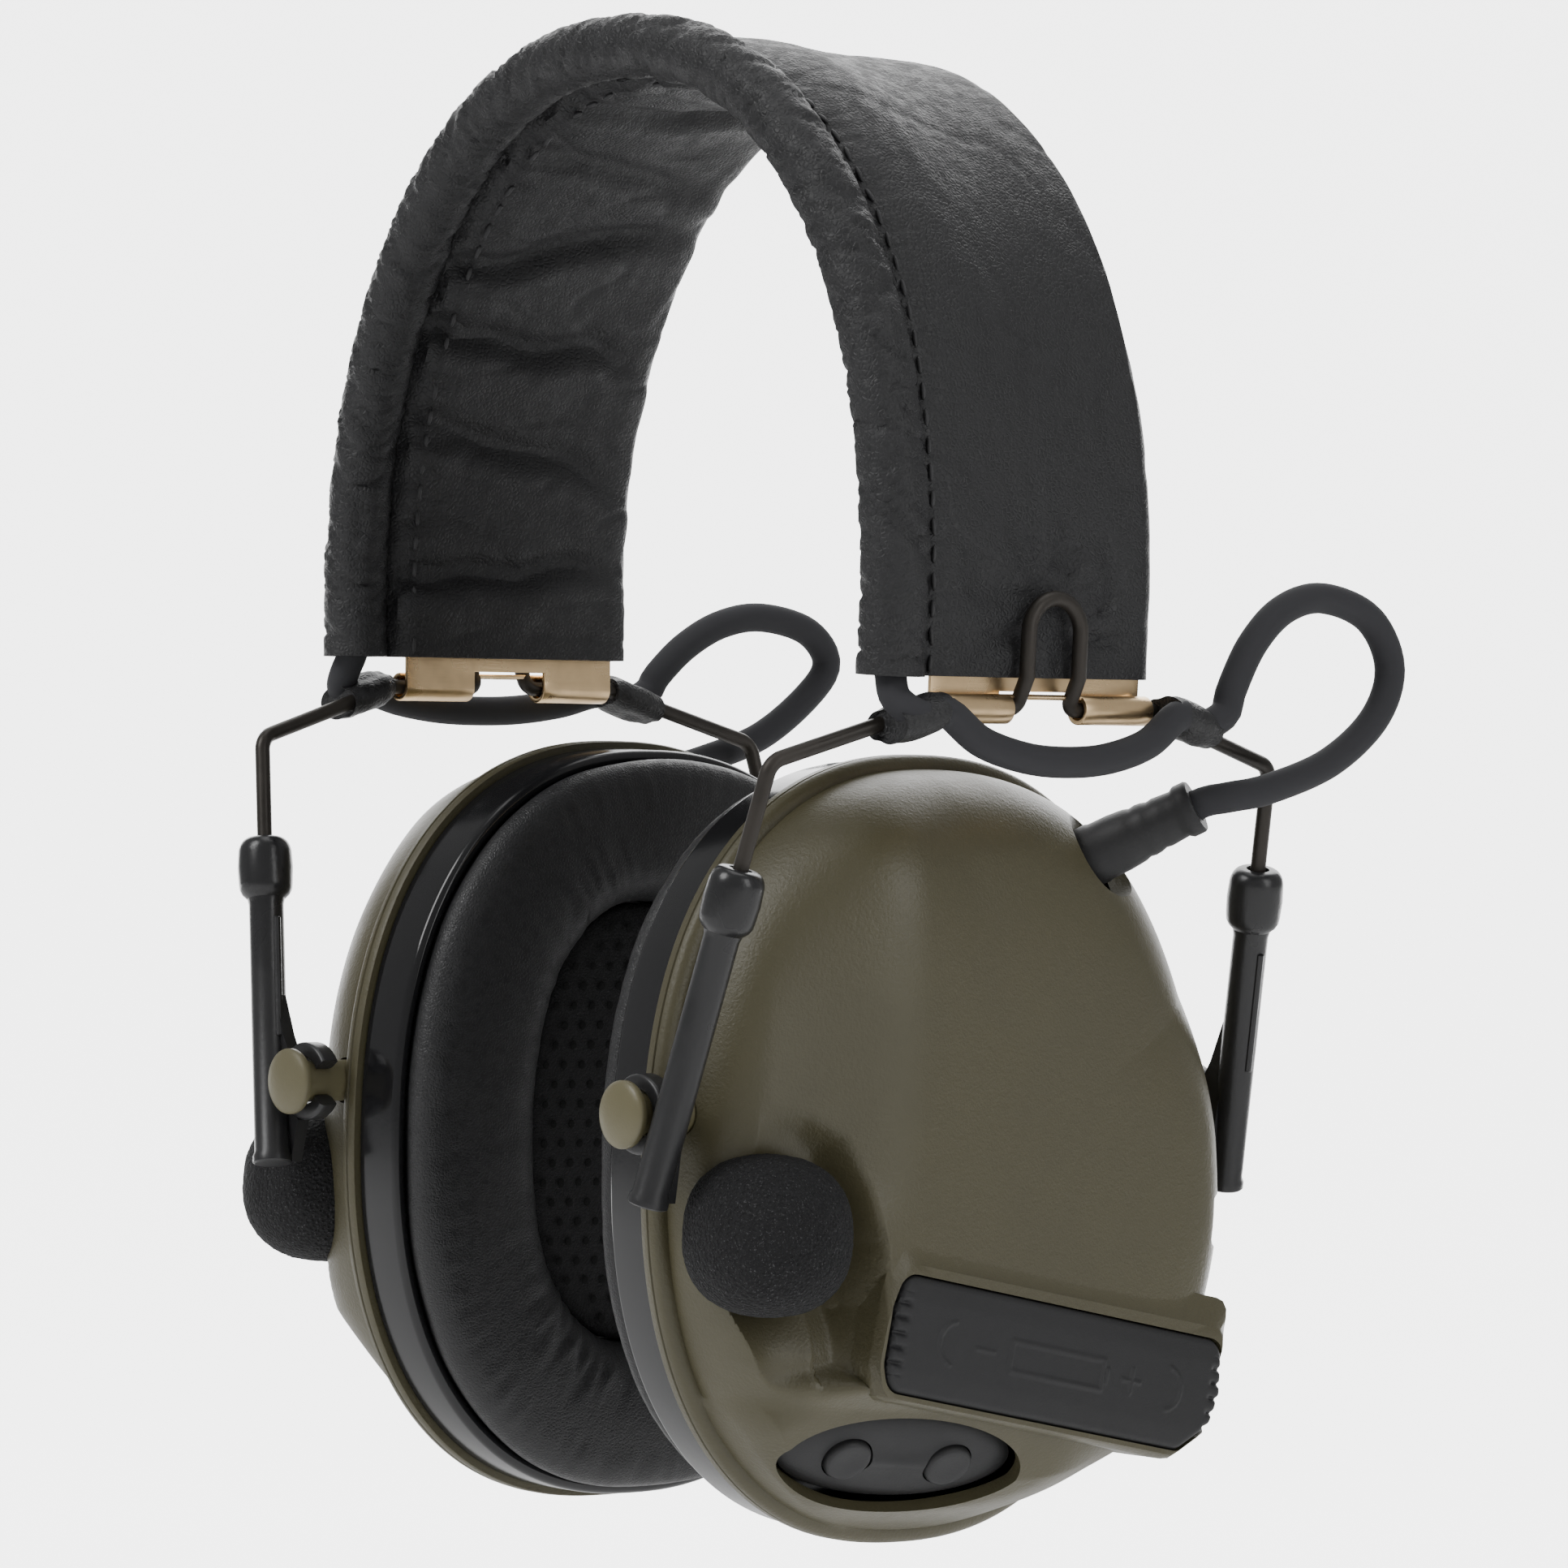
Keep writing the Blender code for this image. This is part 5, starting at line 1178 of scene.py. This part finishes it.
def build_cushions():
    """Soft rings with a crowned face, drawn into small folds at the inner edge."""
    height = bpy.context.scene.headset_sizes.cushion_wrinkle
    count = 420
    knots = flowing([(a * MM, b * MM, c * MM) for a, b, c in CUSHION_SECTION], 0.00065)
    for label, side in SIDES:
        rings = oval_ring([tuple(p) for p in knots], count)
        across = np.gradient(rings, axis=0)
        around = np.roll(rings, -1, axis=1) - np.roll(rings, 1, axis=1)
        normals = np.cross(across, around)
        normals /= np.linalg.norm(normals, axis=2)[:, :, None]
        if normals[len(knots) // 2, 0, 0] > 0:
            normals = -normals
        for row in range(len(rings)):
            share = row / (len(rings) - 1)
            slope = math.exp(-((share - 0.70) / 0.16) ** 2)
            side_wall = math.exp(-((share - 0.30) / 0.08) ** 2)
            for k in range(count):
                angle = 2 * math.pi * k / count
                point = rings[row, k]
                spot = (math.exp(-(math.remainder(angle - math.radians(238), math.tau) / 0.30) ** 2)
                        + math.exp(-(math.remainder(angle - math.radians(58), math.tau) / 0.34) ** 2)
                        + 0.8 * math.exp(-(math.remainder(angle - math.radians(122), math.tau) / 0.30) ** 2)
                        + 0.25)
                fold = ripple((angle * 5.0, share * 1.3, side), 3.2, 2.0)
                fold = math.copysign(abs(fold) ** 1.3, fold)
                rise = height * 2.6 * slope * spot * fold
                rise += height * 0.7 * side_wall * ripple((angle * 8.0, share, side), 3.0, 4.0)
                rise += 0.00020 * ripple(point, 90.0, 6.0)
                rings[row, k] = point + normals[row, k] * rise
        cushion = solid(f"ear_cushion_{label}", skin(list(rings), ring=True), cushion_finish(), side, 60.0)
        fit(cushion, f"cup_{label}", "leather", f"ear_cushion_{label}")


def build_liners():
    """Cloth-faced foam inside each cushion, with rows of small holes, each a flat disc painted with the
    near-black shade of a hole.
    """
    sizes = bpy.context.scene.headset_sizes
    tree = hole_tree()
    for label, side in SIDES:
        count, half = 160, (0.0190, 0.0290)
        section = [(0.3, 0.0224), (0.6, 0.0225), (0.8, 0.0226), (0.92, 0.0228), (0.98, 0.0232), (1.0, 0.0238),
                   (1.0, 0.0267)]
        rings = oval_ring([(half[0] * s, half[1] * s, x) for s, x in section], count)
        liner = solid(f"liner_foam_{label}", skin(list(rings)), cloth_finish(), side, 50.0)
        fit(liner, f"cup_{label}", "foam", f"liner_foam_{label}")
        step = sizes.hole_spacing
        points = []
        for row in range(-12, 13):
            for column in range(-8, 9):
                y, z = (column + 0.5 * (row % 2)) * step, row * step * 0.866
                if (abs(y) / half[0]) ** 2.3 + (abs(z) / half[1]) ** 2.3 < 0.86:
                    points.append((side * 0.02243, y, CUP_Z + z))
        # The holes are flat discs in the painted shade of a hole; the liner itself is not cut.
        holes = grown(f"liner_holes_{label}", tree, points, [],
                      {"Radius": sizes.hole_radius, "Spread": 0.15, "Seed": 3, "Material": hole_shade_finish()})
        fit(holes, f"cup_{label}", "foam")


# ---------------------------------------------------------------- windscreens, lids and keys

def build_windscreens():
    """Foam balls, a little square, with a ragged skin."""
    rows, columns = 70, 120
    for label, side in SIDES:
        loops = []
        for i in range(1, rows):
            t = math.pi * i / rows
            loop = []
            for k in range(columns):
                a = 2 * math.pi * k / columns
                way = Vector((math.cos(t), math.sin(t) * math.cos(a), math.sin(t) * math.sin(a)))
                power = 2.35
                size = (abs(way.x) ** power + abs(way.y) ** power + abs(way.z) ** power) ** (-1 / power)
                size *= 1 + 0.008 * ripple(way, 3.0, 2.0) + 0.010 * ripple(way, 22.0, 5.0)
                loop.append(MIC_CENTRE + way * size * 0.0101)
            loops.append(loop)
        ball = solid(f"mic_windscreen_{label}", skin(loops), foam_finish(), 1, 80.0)
        hole = [(0, 0.0), (0.0033, 0.0), (0.0033, 0.0113), (0, 0.0113)]
        if side < 0:
            ball.data.transform(Matrix.Scale(-1, 4, (1, 0, 0)))
            ball.data.flip_normals()
        bore = turned(hole, MIC_CENTRE - Vector((0.014, 0, 0)), (1, 0, 0), 24)
        carve(ball, [("DIFFERENCE", bore)], side, 80.0)
        fit(ball, f"cup_{label}", "foam", f"mic_windscreen_{label}")


def capsule_mark(u, v, start, stop, width):
    """1 near the line between two (u, v) points of a lid, in mm, and 0 away from it."""
    du, dv = stop[0] - start[0], stop[1] - start[1]
    share = np.clip(((u - start[0]) * du + (v - start[1]) * dv) / max(du * du + dv * dv, 1e-9), 0, 1)
    away = np.hypot(u - start[0] - share * du, v - start[1] - share * dv)
    return 1 - smooth((away - width * 0.4) / (width * 0.4))


def cell_symbol(u, v):
    """A plain cell outline with a plus and a minus, and a finger arc at each end."""
    mark = np.zeros(u.shape)
    corners = ((-8.5, 1.9), (7.5, 1.9), (7.5, -1.9), (-8.5, -1.9))
    for start, stop in zip(corners, corners[1:] + corners[:1]):
        mark = np.maximum(mark, capsule_mark(u, v, start, stop, 0.45))
    for start, stop in (((8.2, 0.8), (8.2, -0.8)), ((11.0, 0), (14.0, 0)), ((12.5, 1.5), (12.5, -1.5)),
                        ((-11.5, 0), (-14.5, 0))):
        mark = np.maximum(mark, capsule_mark(u, v, start, stop, 0.45))
    for centre, low, high in ((-18.0, 100, 260), (18.5, -80, 80)):
        turns = np.radians(np.linspace(low, high, 9))
        arc = [(centre + 2.8 * math.cos(a), 2.8 * math.sin(a)) for a in turns]
        for start, stop in zip(arc, arc[1:]):
            mark = np.maximum(mark, capsule_mark(u, v, start, stop, 0.40))
    return mark


def build_lids():
    """Rubber battery lids with a rounded edge, finger grooves at the ends and a cell symbol."""
    lid = lid_place()
    columns, rows = 250, 72
    outline_mm = soft_outline(LID_OUTLINE, LID_CORNER, 6)
    u, v = np.meshgrid(np.linspace(-29.0, 29.0, columns), np.linspace(-8.0, 8.0, rows))
    inside = np.maximum(-polygon_distance(outline_mm, u, v), 0)
    edge = 0.9
    top = LID_TOP_X / MM - edge + np.sqrt(np.maximum(edge**2 - np.maximum(edge - inside, 0) ** 2, 0))
    top -= 0.25 * smooth((np.abs(v) - 4.0) / 4.0)
    top += 0.16 * cell_symbol(u, v)
    grooves = 0.5 + 0.5 * np.cos(2 * math.pi * v / 1.9)
    top -= 0.55 * grooves**3 * (smooth((-u - 25.6) / 1.2) + smooth((u - 25.8) / 1.2)) * (np.abs(v) < 5.4)
    outer = [[lid @ Vector((a * MM, b * MM, w * MM)) for a, b, w in zip(*line)] for line in zip(u, v, top)]
    grid = np.array([[tuple(p) for p in line] for line in outer])
    base = np.array([[tuple(lid @ Vector((a * MM, b * MM, LID_FOOT_X))) for a, b in zip(*line)]
                     for line in zip(u, v)])
    count = rows * columns
    points = np.concatenate([grid.reshape(-1, 3), base.reshape(-1, 3)])
    faces = []
    for r in range(rows - 1):
        for c in range(columns - 1):
            a = r * columns + c
            faces.append([a, a + 1, a + columns + 1, a + columns])
            faces.append([count + a + columns, count + a + columns + 1, count + a + 1, count + a])
    rim = (list(range(columns)) + [r * columns + columns - 1 for r in range(1, rows)]
           + [(rows - 1) * columns + c for c in range(columns - 2, -1, -1)]
           + [r * columns for r in range(rows - 2, 0, -1)])
    for a, b in zip(rim, rim[1:] + rim[:1]):
        faces.append([b, a, count + a, count + b])
    wavy = []
    for a, b in resampled(outline_mm, 260):
        pull = 0.28 * (0.5 + 0.5 * math.cos(2 * math.pi * b / 1.9)) if abs(a) > 26 and abs(b) < 5.4 else 0.0
        wavy.append(((a - math.copysign(pull, a)) * MM, b * MM))
    for label, side in SIDES:
        cover = solid(f"battery_lid_{label}", (points, faces), rubber_finish(), side)
        carve(cover, [("INTERSECT", slab(wavy, 0.045, 0.056, lid))], side, 38.0)
        fit(cover, f"battery_lid_{label}", "rubber", f"battery_lid_{label}")


def build_keypad():
    """Soft oval pad with a saddle between its two round keys."""
    place = keypad_place()
    rings, count = 34, 144
    loops = []
    for step in range(1, rings + 1):
        share = math.sin(math.pi / 2 * step / rings)
        loop = []
        for k in range(count):
            a = 2 * math.pi * k / count
            u, v = 17.2 * share * math.cos(a), 7.1 * share * math.sin(a)
            rise = -1.1 * (1 - (1 - share**8)) + 0.35 * (1 - share**2)
            width = 1.2 + 1.5 * min(1.0, abs(u) / 7.5) ** 2
            rise += 0.55 * math.exp(-(v / width) ** 2) * float(1 - smooth(np.array((abs(u) - 6.5) / 4.0)))
            loop.append(place @ Vector((u * MM, v * MM, rise * MM)))
        loops.append(loop)
    foot = [place @ Vector((0.0172 * math.cos(2 * math.pi * k / count),
                            0.0071 * math.sin(2 * math.pi * k / count), -0.0034)) for k in range(count)]
    pad = solid("keypad", skin([*loops, foot]), rubber_finish(), 1, 60.0)
    out = Vector(place.col[2][:3])
    wells = []
    for shift in (-KEY_SPACING / 2, KEY_SPACING / 2):
        centre = place @ Vector((shift, 0, 0))
        wells.append(("DIFFERENCE", turned([(0, -0.006), (0.0034, -0.006), (0.0034, 0.006), (0, 0.006)],
                                           centre, out, 48)))
    carve(pad, wells, 1, 40.0)
    fit(pad, "cup_left", "rubber", "keypad")


def build_keys():
    place = keypad_place()
    out = Vector(place.col[2][:3])
    profile = [(0, -0.0034), (0.0032, -0.0034), (0.0032, 0.0003)]
    profile += [(0.0026 + 0.0006 * math.cos(a), 0.0004 + 0.0007 * math.sin(a))
                for a in np.linspace(0, math.pi / 2, 8)]
    profile += [(0.0018, 0.00104), (0.0009, 0.00098), (0, 0.00095)]
    for name, shift in (("key_up", -KEY_SPACING / 2), ("key_down", KEY_SPACING / 2)):
        centre = place @ Vector((shift, 0, 0))
        fit(solid(name, turned(profile, centre, out, 48), rubber_finish(), 1, 50.0), name, "rubber", name)


def build_plug():
    """Blanking plug with a coin slot."""
    profile = [(0, 0), (0.0042, 0), (0.0042, 0.0038)]
    profile += [(0.0032 + 0.0010 * math.cos(a), 0.0040 + 0.0010 * math.sin(a))
                for a in np.linspace(0, math.pi / 2, 8)]
    profile += [(0, 0.0051)]
    plug = solid("blanking_plug", turned(profile, (PLUG_X, 0.0365, PLUG_Z), (0, 1, 0), 48),
                 rubber_finish(), 1, 50.0)
    slot = slab([(-0.0030, -0.0005), (0.0030, -0.0005), (0.0030, 0.0005), (-0.0030, 0.0005)], 0.0, 0.003,
                Matrix.Translation((PLUG_X, 0.0408, PLUG_Z)) @ Matrix.Rotation(-math.pi / 2, 4, "X"))
    carve(plug, [("DIFFERENCE", slot)], 1, 50.0)
    fit(plug, "cup_left", "rubber", "blanking_plug")


# ---------------------------------------------------------------- cables

LOOP_ROUTE = ((0.0568, 0.0310, -0.0108), (0.0577, 0.0374, -0.0096), (0.0576, 0.0480, -0.0061),
              (0.0572, 0.0562, -0.0003), (0.0567, 0.0591, 0.0063), (0.0566, 0.0552, 0.0125),
              (0.0566, 0.0468, 0.0150), (0.0568, 0.0397, 0.0134), (0.0574, 0.0339, 0.0089),
              (0.0582, 0.0297, 0.0030))


def build_glands():
    """Bend boots with a rolled lip and two shallow grooves."""
    way = (GLAND_TIP - GLAND_BASE).normalized()
    length = (GLAND_TIP - GLAND_BASE).length
    wide, narrow = 0.00385, 0.00315
    profile = [(0, -0.0012), (wide * 1.04, -0.0012), (wide * 1.04, 0.0006), (wide, 0.0010), (wide, 0.0036)]
    for share in np.linspace(0, 1, 12)[1:-1]:
        groove = 0.00022 * (math.exp(-((share - 0.35) / 0.05) ** 2) + math.exp(-((share - 0.62) / 0.05) ** 2))
        profile.append((wide + (narrow - wide) * share - groove, 0.0036 + (length - 0.0062) * share))
    profile += [(narrow, length - 0.0024), (narrow + 0.0004, length - 0.0018),
                (narrow + 0.0004, length - 0.0003), (narrow + 0.0002, length), (0.0021, length),
                (0.0021, length - 0.003), (0, length - 0.003)]
    for label, side in SIDES:
        shape = turned(profile, GLAND_BASE, way, 48)
        boot = solid(f"cable_gland_{label}", shape, rubber_finish(), side, 50.0)
        fit(boot, f"cup_{label}", "rubber", f"cable_gland_{label}")


def loop_route(label):
    """The free cable from inside the boot, up round behind the cup and into the rear sleeve."""
    flatten = 1.0 if label == "left" else 0.70
    way = (GLAND_TIP - GLAND_BASE).normalized()
    route = [GLAND_TIP - way * 0.0022, GLAND_TIP + way * 0.0012]
    for x, y, z in LOOP_ROUTE:
        route.append(Vector((x, y, HINGE_Z + (z * flatten if z > 0 else z))))
    sleeve = shoulder(0.0262) + Vector((CABLE_OFFSET, 0, 0))
    return [*route, sleeve + Vector((-0.0001, 0.0022, 0.0022)), sleeve + Vector((-0.0001, -0.0012, 0.0004))]


def build_loops():
    """Each free loop in two halves, which meet at its rearmost point."""
    for label, side in SIDES:
        path = flowing(loop_route(label), 0.0011)
        split = max(range(len(path)), key=lambda k: path[k].y)
        halves = (("lower", path[:split + 2], f"cup_{label}"), ("upper", path[split - 1:], f"fork_{label}"))
        for half, line, body in halves:
            name = f"cable_loop_{half}_{label}"
            soft = (True, False) if half == "lower" else (False, True)
            cable = solid(name, tube(line, CABLE_RADIUS, 28, soft), cable_finish(), side, 60.0)
            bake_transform(cable)
            if half == "lower":
                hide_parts(f"cable_loop_{label}")


def build_bridges():
    for label, side in SIDES:
        sag = 0.0065 if label == "left" else 0.0032
        rear = shoulder(0.0212) + Vector((CABLE_OFFSET, 0, 0.0001))
        x = HINGE_X + CABLE_OFFSET
        half = [rear, shoulder(0.0190) + Vector((CABLE_OFFSET, 0, -0.0006)),
                Vector((x + 0.0003, 0.0140, HINGE_Z - sag * 0.62)),
                Vector((x + 0.0006, 0.0070, HINGE_Z - sag * 0.92))]
        route = [*half, Vector((x + 0.0006, 0, HINGE_Z - sag)), *(to_end(p, -1) for p in reversed(half))]
        line = flowing(route, 0.0010)
        bridge = solid(f"cable_bridge_{label}", tube(line, CABLE_RADIUS, 28), cable_finish(), side, 60.0)
        fit(bridge, f"fork_{label}", "cable_jacket", f"cable_bridge_{label}")


def build_headband_cable():
    """The cable in the cover's roll, which bends out into the front sleeves."""
    places, normals, _ = arch_line(180)
    middle = [Vector(band_place(place, normal, ROLL_Y, ROLL_LIFT)) for place, normal in zip(places, normals)]
    foot = middle[0]
    tail = [Vector((0.0592, -0.0226, HINGE_Z - 0.0012)), Vector((0.0584, -0.0246, HINGE_Z - 0.0004)),
            Vector((0.0566, -0.0257, HINGE_Z + 0.0014)),
            Vector((foot.x + 0.0002, ROLL_Y - 0.0002, foot.z + 0.0004))]
    start = flowing(tail, 0.0008)
    line = [*start, *middle[4:-4], *(Vector((-p.x, p.y, p.z)) for p in reversed(start))]
    cable = solid("headband_cable", tube(line, CABLE_RADIUS, 24), cable_finish(), 1, 60.0)
    fit(cable, "headband", "cable_jacket", "headband_cable")


# ---------------------------------------------------------------- what stays from the frame

def finish_inner_parts():
    """Finishes for the inner parts whose shape stays as it is."""
    finishes = {"driver": steel_finish, "circuit_board": board_finish, "mic_capsule": steel_finish,
                "battery": steel_finish, "lid_seal": seal_finish}
    for label, _ in SIDES:
        for name, make in finishes.items():
            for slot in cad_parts[f"{name}_{label}"].material_slots:
                slot.material = make()
    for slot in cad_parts["headband_pad"].material_slots:
        slot.material = cloth_finish()


# ---------------------------------------------------------------- stage

def add_sheet(name, points, faces, material):
    mesh = bpy.data.meshes.new(name)
    mesh.from_pydata(points, [], faces)
    mesh.shade_smooth()
    mesh.materials.append(material)
    sheet = bpy.data.objects.new(name, mesh)
    bpy.context.scene.collection.objects.link(sheet)


def build_backdrop():
    """A pale floor, and a lit pale wall that turns up behind it."""
    floor, near, far, radius = -0.34, 0.9, 2.4, 1.0
    turn = Matrix.Rotation(math.radians(50), 3, "Z")
    paper = finish("floor_paper", (0.86, 0.86, 0.86), (0.90, 0.90, 0.90), (0.9, 0.95),
                   "moulded", 40.0, 0.0001)
    corners = [turn @ Vector((x, y, floor)) for x, y in ((-4, -4), (4, -4), (4, near), (-4, near))]
    add_sheet("floor", corners, [(0, 1, 2, 3)], paper)
    line = [(near, floor), (far - radius, floor)]
    line += [(far - radius + radius * math.sin(a), floor + radius * (1 - math.cos(a)))
             for a in np.linspace(0, math.pi / 2, 25)[1:]]
    line.append((far, 3.0))
    points = [turn @ Vector((x, y, z)) for y, z in line for x in (-1.6, 1.6)]
    faces = [(2 * k, 2 * k + 1, 2 * k + 3, 2 * k + 2) for k in range(len(line) - 1)]
    lit = finish("lit_paper", (0.90, 0.90, 0.90), (0.92, 0.92, 0.92), (0.9, 0.95), "moulded", 40.0, 0.0001,
                 Emission_Color=(1, 1, 1, 1), Emission_Strength=3.4)
    add_sheet("backdrop", points, faces, lit)


def add_light(name, place, aim, size, power):
    light = bpy.data.lights.new(name, "AREA")
    light.shape = "RECTANGLE"
    light.size, light.size_y = size
    light.energy = power
    lamp = bpy.data.objects.new(name, light)
    bpy.context.scene.collection.objects.link(lamp)
    lamp.location = place
    lamp.rotation_euler = (Vector(aim) - Vector(place)).to_track_quat("-Z", "Y").to_euler()


def build_lights():
    middle = (0, 0, -0.09)
    add_light("key_light", (-0.3, -1.3, 1.1), middle, (0.7, 0.9), 15)
    add_light("side_light", (1.6, 0.2, 0.5), middle, (0.6, 1.2), 7)
    add_light("top_light", (0.1, 0.2, 1.6), middle, (1.2, 1.2), 8)
    world = bpy.data.worlds.new("studio")
    world.use_nodes = True
    world.node_tree.nodes["Background"].inputs["Color"].default_value = (1, 1, 1, 1)
    world.node_tree.nodes["Background"].inputs["Strength"].default_value = 0.36
    bpy.context.scene.world = world


def build_camera():
    azimuth, elevation, roll = math.radians(50), math.radians(1.2), math.radians(1.5)
    aim = Vector((0.643 * 0.0033, 0.766 * 0.0033, -0.0899))
    way = Vector((math.sin(azimuth) * math.cos(elevation), -math.cos(azimuth) * math.cos(elevation),
                  math.sin(elevation)))
    camera = bpy.data.objects.new("camera", bpy.data.cameras.new("camera"))
    bpy.context.scene.collection.objects.link(camera)
    camera.location = aim + way * 1.10
    camera.rotation_euler = ((-way).to_track_quat("-Z", "Y") @ Matrix.Rotation(roll, 3, "Z").to_quaternion()
                             ).to_euler()
    camera.data.lens = 193.0
    camera.data.sensor_width = 36.0
    bpy.context.scene.camera = camera


# ---------------------------------------------------------------- operators

class HEADSET_OT_cover(bpy.types.Operator):
    """Makes the leather headband cover and its stitches"""
    bl_idname = "headset.cover"
    bl_label = "Headband cover"

    def execute(self, context):
        build_headband_cover()
        build_stitches()
        return {"FINISHED"}


class HEADSET_OT_spring(bpy.types.Operator):
    """Makes the gilt spring band"""
    bl_idname = "headset.spring"
    bl_label = "Spring band"

    def execute(self, context):
        build_spring()
        return {"FINISHED"}


class HEADSET_OT_forks(bpy.types.Operator):
    """Makes the wire forks and the shrink sleeves on them"""
    bl_idname = "headset.forks"
    bl_label = "Forks and sleeves"

    def execute(self, context):
        build_forks()
        build_sleeves()
        return {"FINISHED"}


class HEADSET_OT_sliders(bpy.types.Operator):
    """Makes the height sliders"""
    bl_idname = "headset.sliders"
    bl_label = "Sliders"

    def execute(self, context):
        build_sliders()
        return {"FINISHED"}


class HEADSET_OT_studs(bpy.types.Operator):
    """Makes the pivot studs"""
    bl_idname = "headset.studs"
    bl_label = "Pivot studs"

    def execute(self, context):
        build_studs()
        return {"FINISHED"}


class HEADSET_OT_shells(bpy.types.Operator):
    """Makes the moulded ear shells"""
    bl_idname = "headset.shells"
    bl_label = "Ear shells"

    def execute(self, context):
        build_shells()
        return {"FINISHED"}


class HEADSET_OT_plates(bpy.types.Operator):
    """Makes the glossy base plates"""
    bl_idname = "headset.plates"
    bl_label = "Base plates"

    def execute(self, context):
        build_base_plates()
        return {"FINISHED"}


class HEADSET_OT_cushions(bpy.types.Operator):
    """Makes the ear cushions"""
    bl_idname = "headset.cushions"
    bl_label = "Ear cushions"

    def execute(self, context):
        build_cushions()
        return {"FINISHED"}


class HEADSET_OT_liners(bpy.types.Operator):
    """Makes the perforated ear liners"""
    bl_idname = "headset.liners"
    bl_label = "Ear liners"

    def execute(self, context):
        build_liners()
        return {"FINISHED"}


class HEADSET_OT_windscreens(bpy.types.Operator):
    """Makes the foam windscreens of the microphones"""
    bl_idname = "headset.windscreens"
    bl_label = "Windscreens"

    def execute(self, context):
        build_windscreens()
        return {"FINISHED"}


class HEADSET_OT_lids(bpy.types.Operator):
    """Makes the battery lids"""
    bl_idname = "headset.lids"
    bl_label = "Battery lids"

    def execute(self, context):
        build_lids()
        return {"FINISHED"}


class HEADSET_OT_keypad(bpy.types.Operator):
    """Makes the keypad, its keys and the blanking plug"""
    bl_idname = "headset.keypad"
    bl_label = "Keypad and plug"

    def execute(self, context):
        build_keypad()
        build_keys()
        build_plug()
        return {"FINISHED"}


class HEADSET_OT_cables(bpy.types.Operator):
    """Makes the cables and their bend boots"""
    bl_idname = "headset.cables"
    bl_label = "Cables"

    def execute(self, context):
        build_glands()
        build_loops()
        build_bridges()
        build_headband_cable()
        return {"FINISHED"}


class HEADSET_OT_inner_parts(bpy.types.Operator):
    """Gives the inner parts their finishes"""
    bl_idname = "headset.inner_parts"
    bl_label = "Inner parts"

    def execute(self, context):
        finish_inner_parts()
        return {"FINISHED"}


class HEADSET_OT_stage(bpy.types.Operator):
    """Makes the backdrop, the lights and the camera"""
    bl_idname = "headset.stage"
    bl_label = "Stage"

    def execute(self, context):
        build_backdrop()
        build_lights()
        build_camera()
        return {"FINISHED"}


STEPS = (HEADSET_OT_cover, HEADSET_OT_spring, HEADSET_OT_forks, HEADSET_OT_sliders, HEADSET_OT_studs,
         HEADSET_OT_shells, HEADSET_OT_plates, HEADSET_OT_cushions, HEADSET_OT_liners,
         HEADSET_OT_windscreens, HEADSET_OT_lids, HEADSET_OT_keypad, HEADSET_OT_cables,
         HEADSET_OT_inner_parts, HEADSET_OT_stage)


class HEADSET_PT_sidebar(bpy.types.Panel):
    """Sizes, colours and steps of the headset"""
    bl_idname = "HEADSET_PT_sidebar"
    bl_label = "Headset"
    bl_space_type = "VIEW_3D"
    bl_region_type = "UI"
    bl_category = "Headset"

    def draw(self, context):
        for group in (context.scene.headset_sizes, context.scene.headset_colours):
            box = self.layout.box()
            for key in group.__annotations__:
                box.prop(group, key)
        for step in STEPS:
            self.layout.operator(step.bl_idname)


CLASSES = (HeadsetSizes, HeadsetColours, *STEPS, HEADSET_PT_sidebar)


def register():
    for cls in CLASSES:
        bpy.utils.register_class(cls)
    bpy.types.Scene.headset_sizes = PointerProperty(type=HeadsetSizes)
    bpy.types.Scene.headset_colours = PointerProperty(type=HeadsetColours)


def unregister():
    del bpy.types.Scene.headset_sizes
    del bpy.types.Scene.headset_colours
    for cls in reversed(CLASSES):
        bpy.utils.unregister_class(cls)


def main():
    register()
    for step in STEPS:
        getattr(bpy.ops.headset, step.bl_idname.split(".")[1])()


if __name__ == "__main__":
    main()
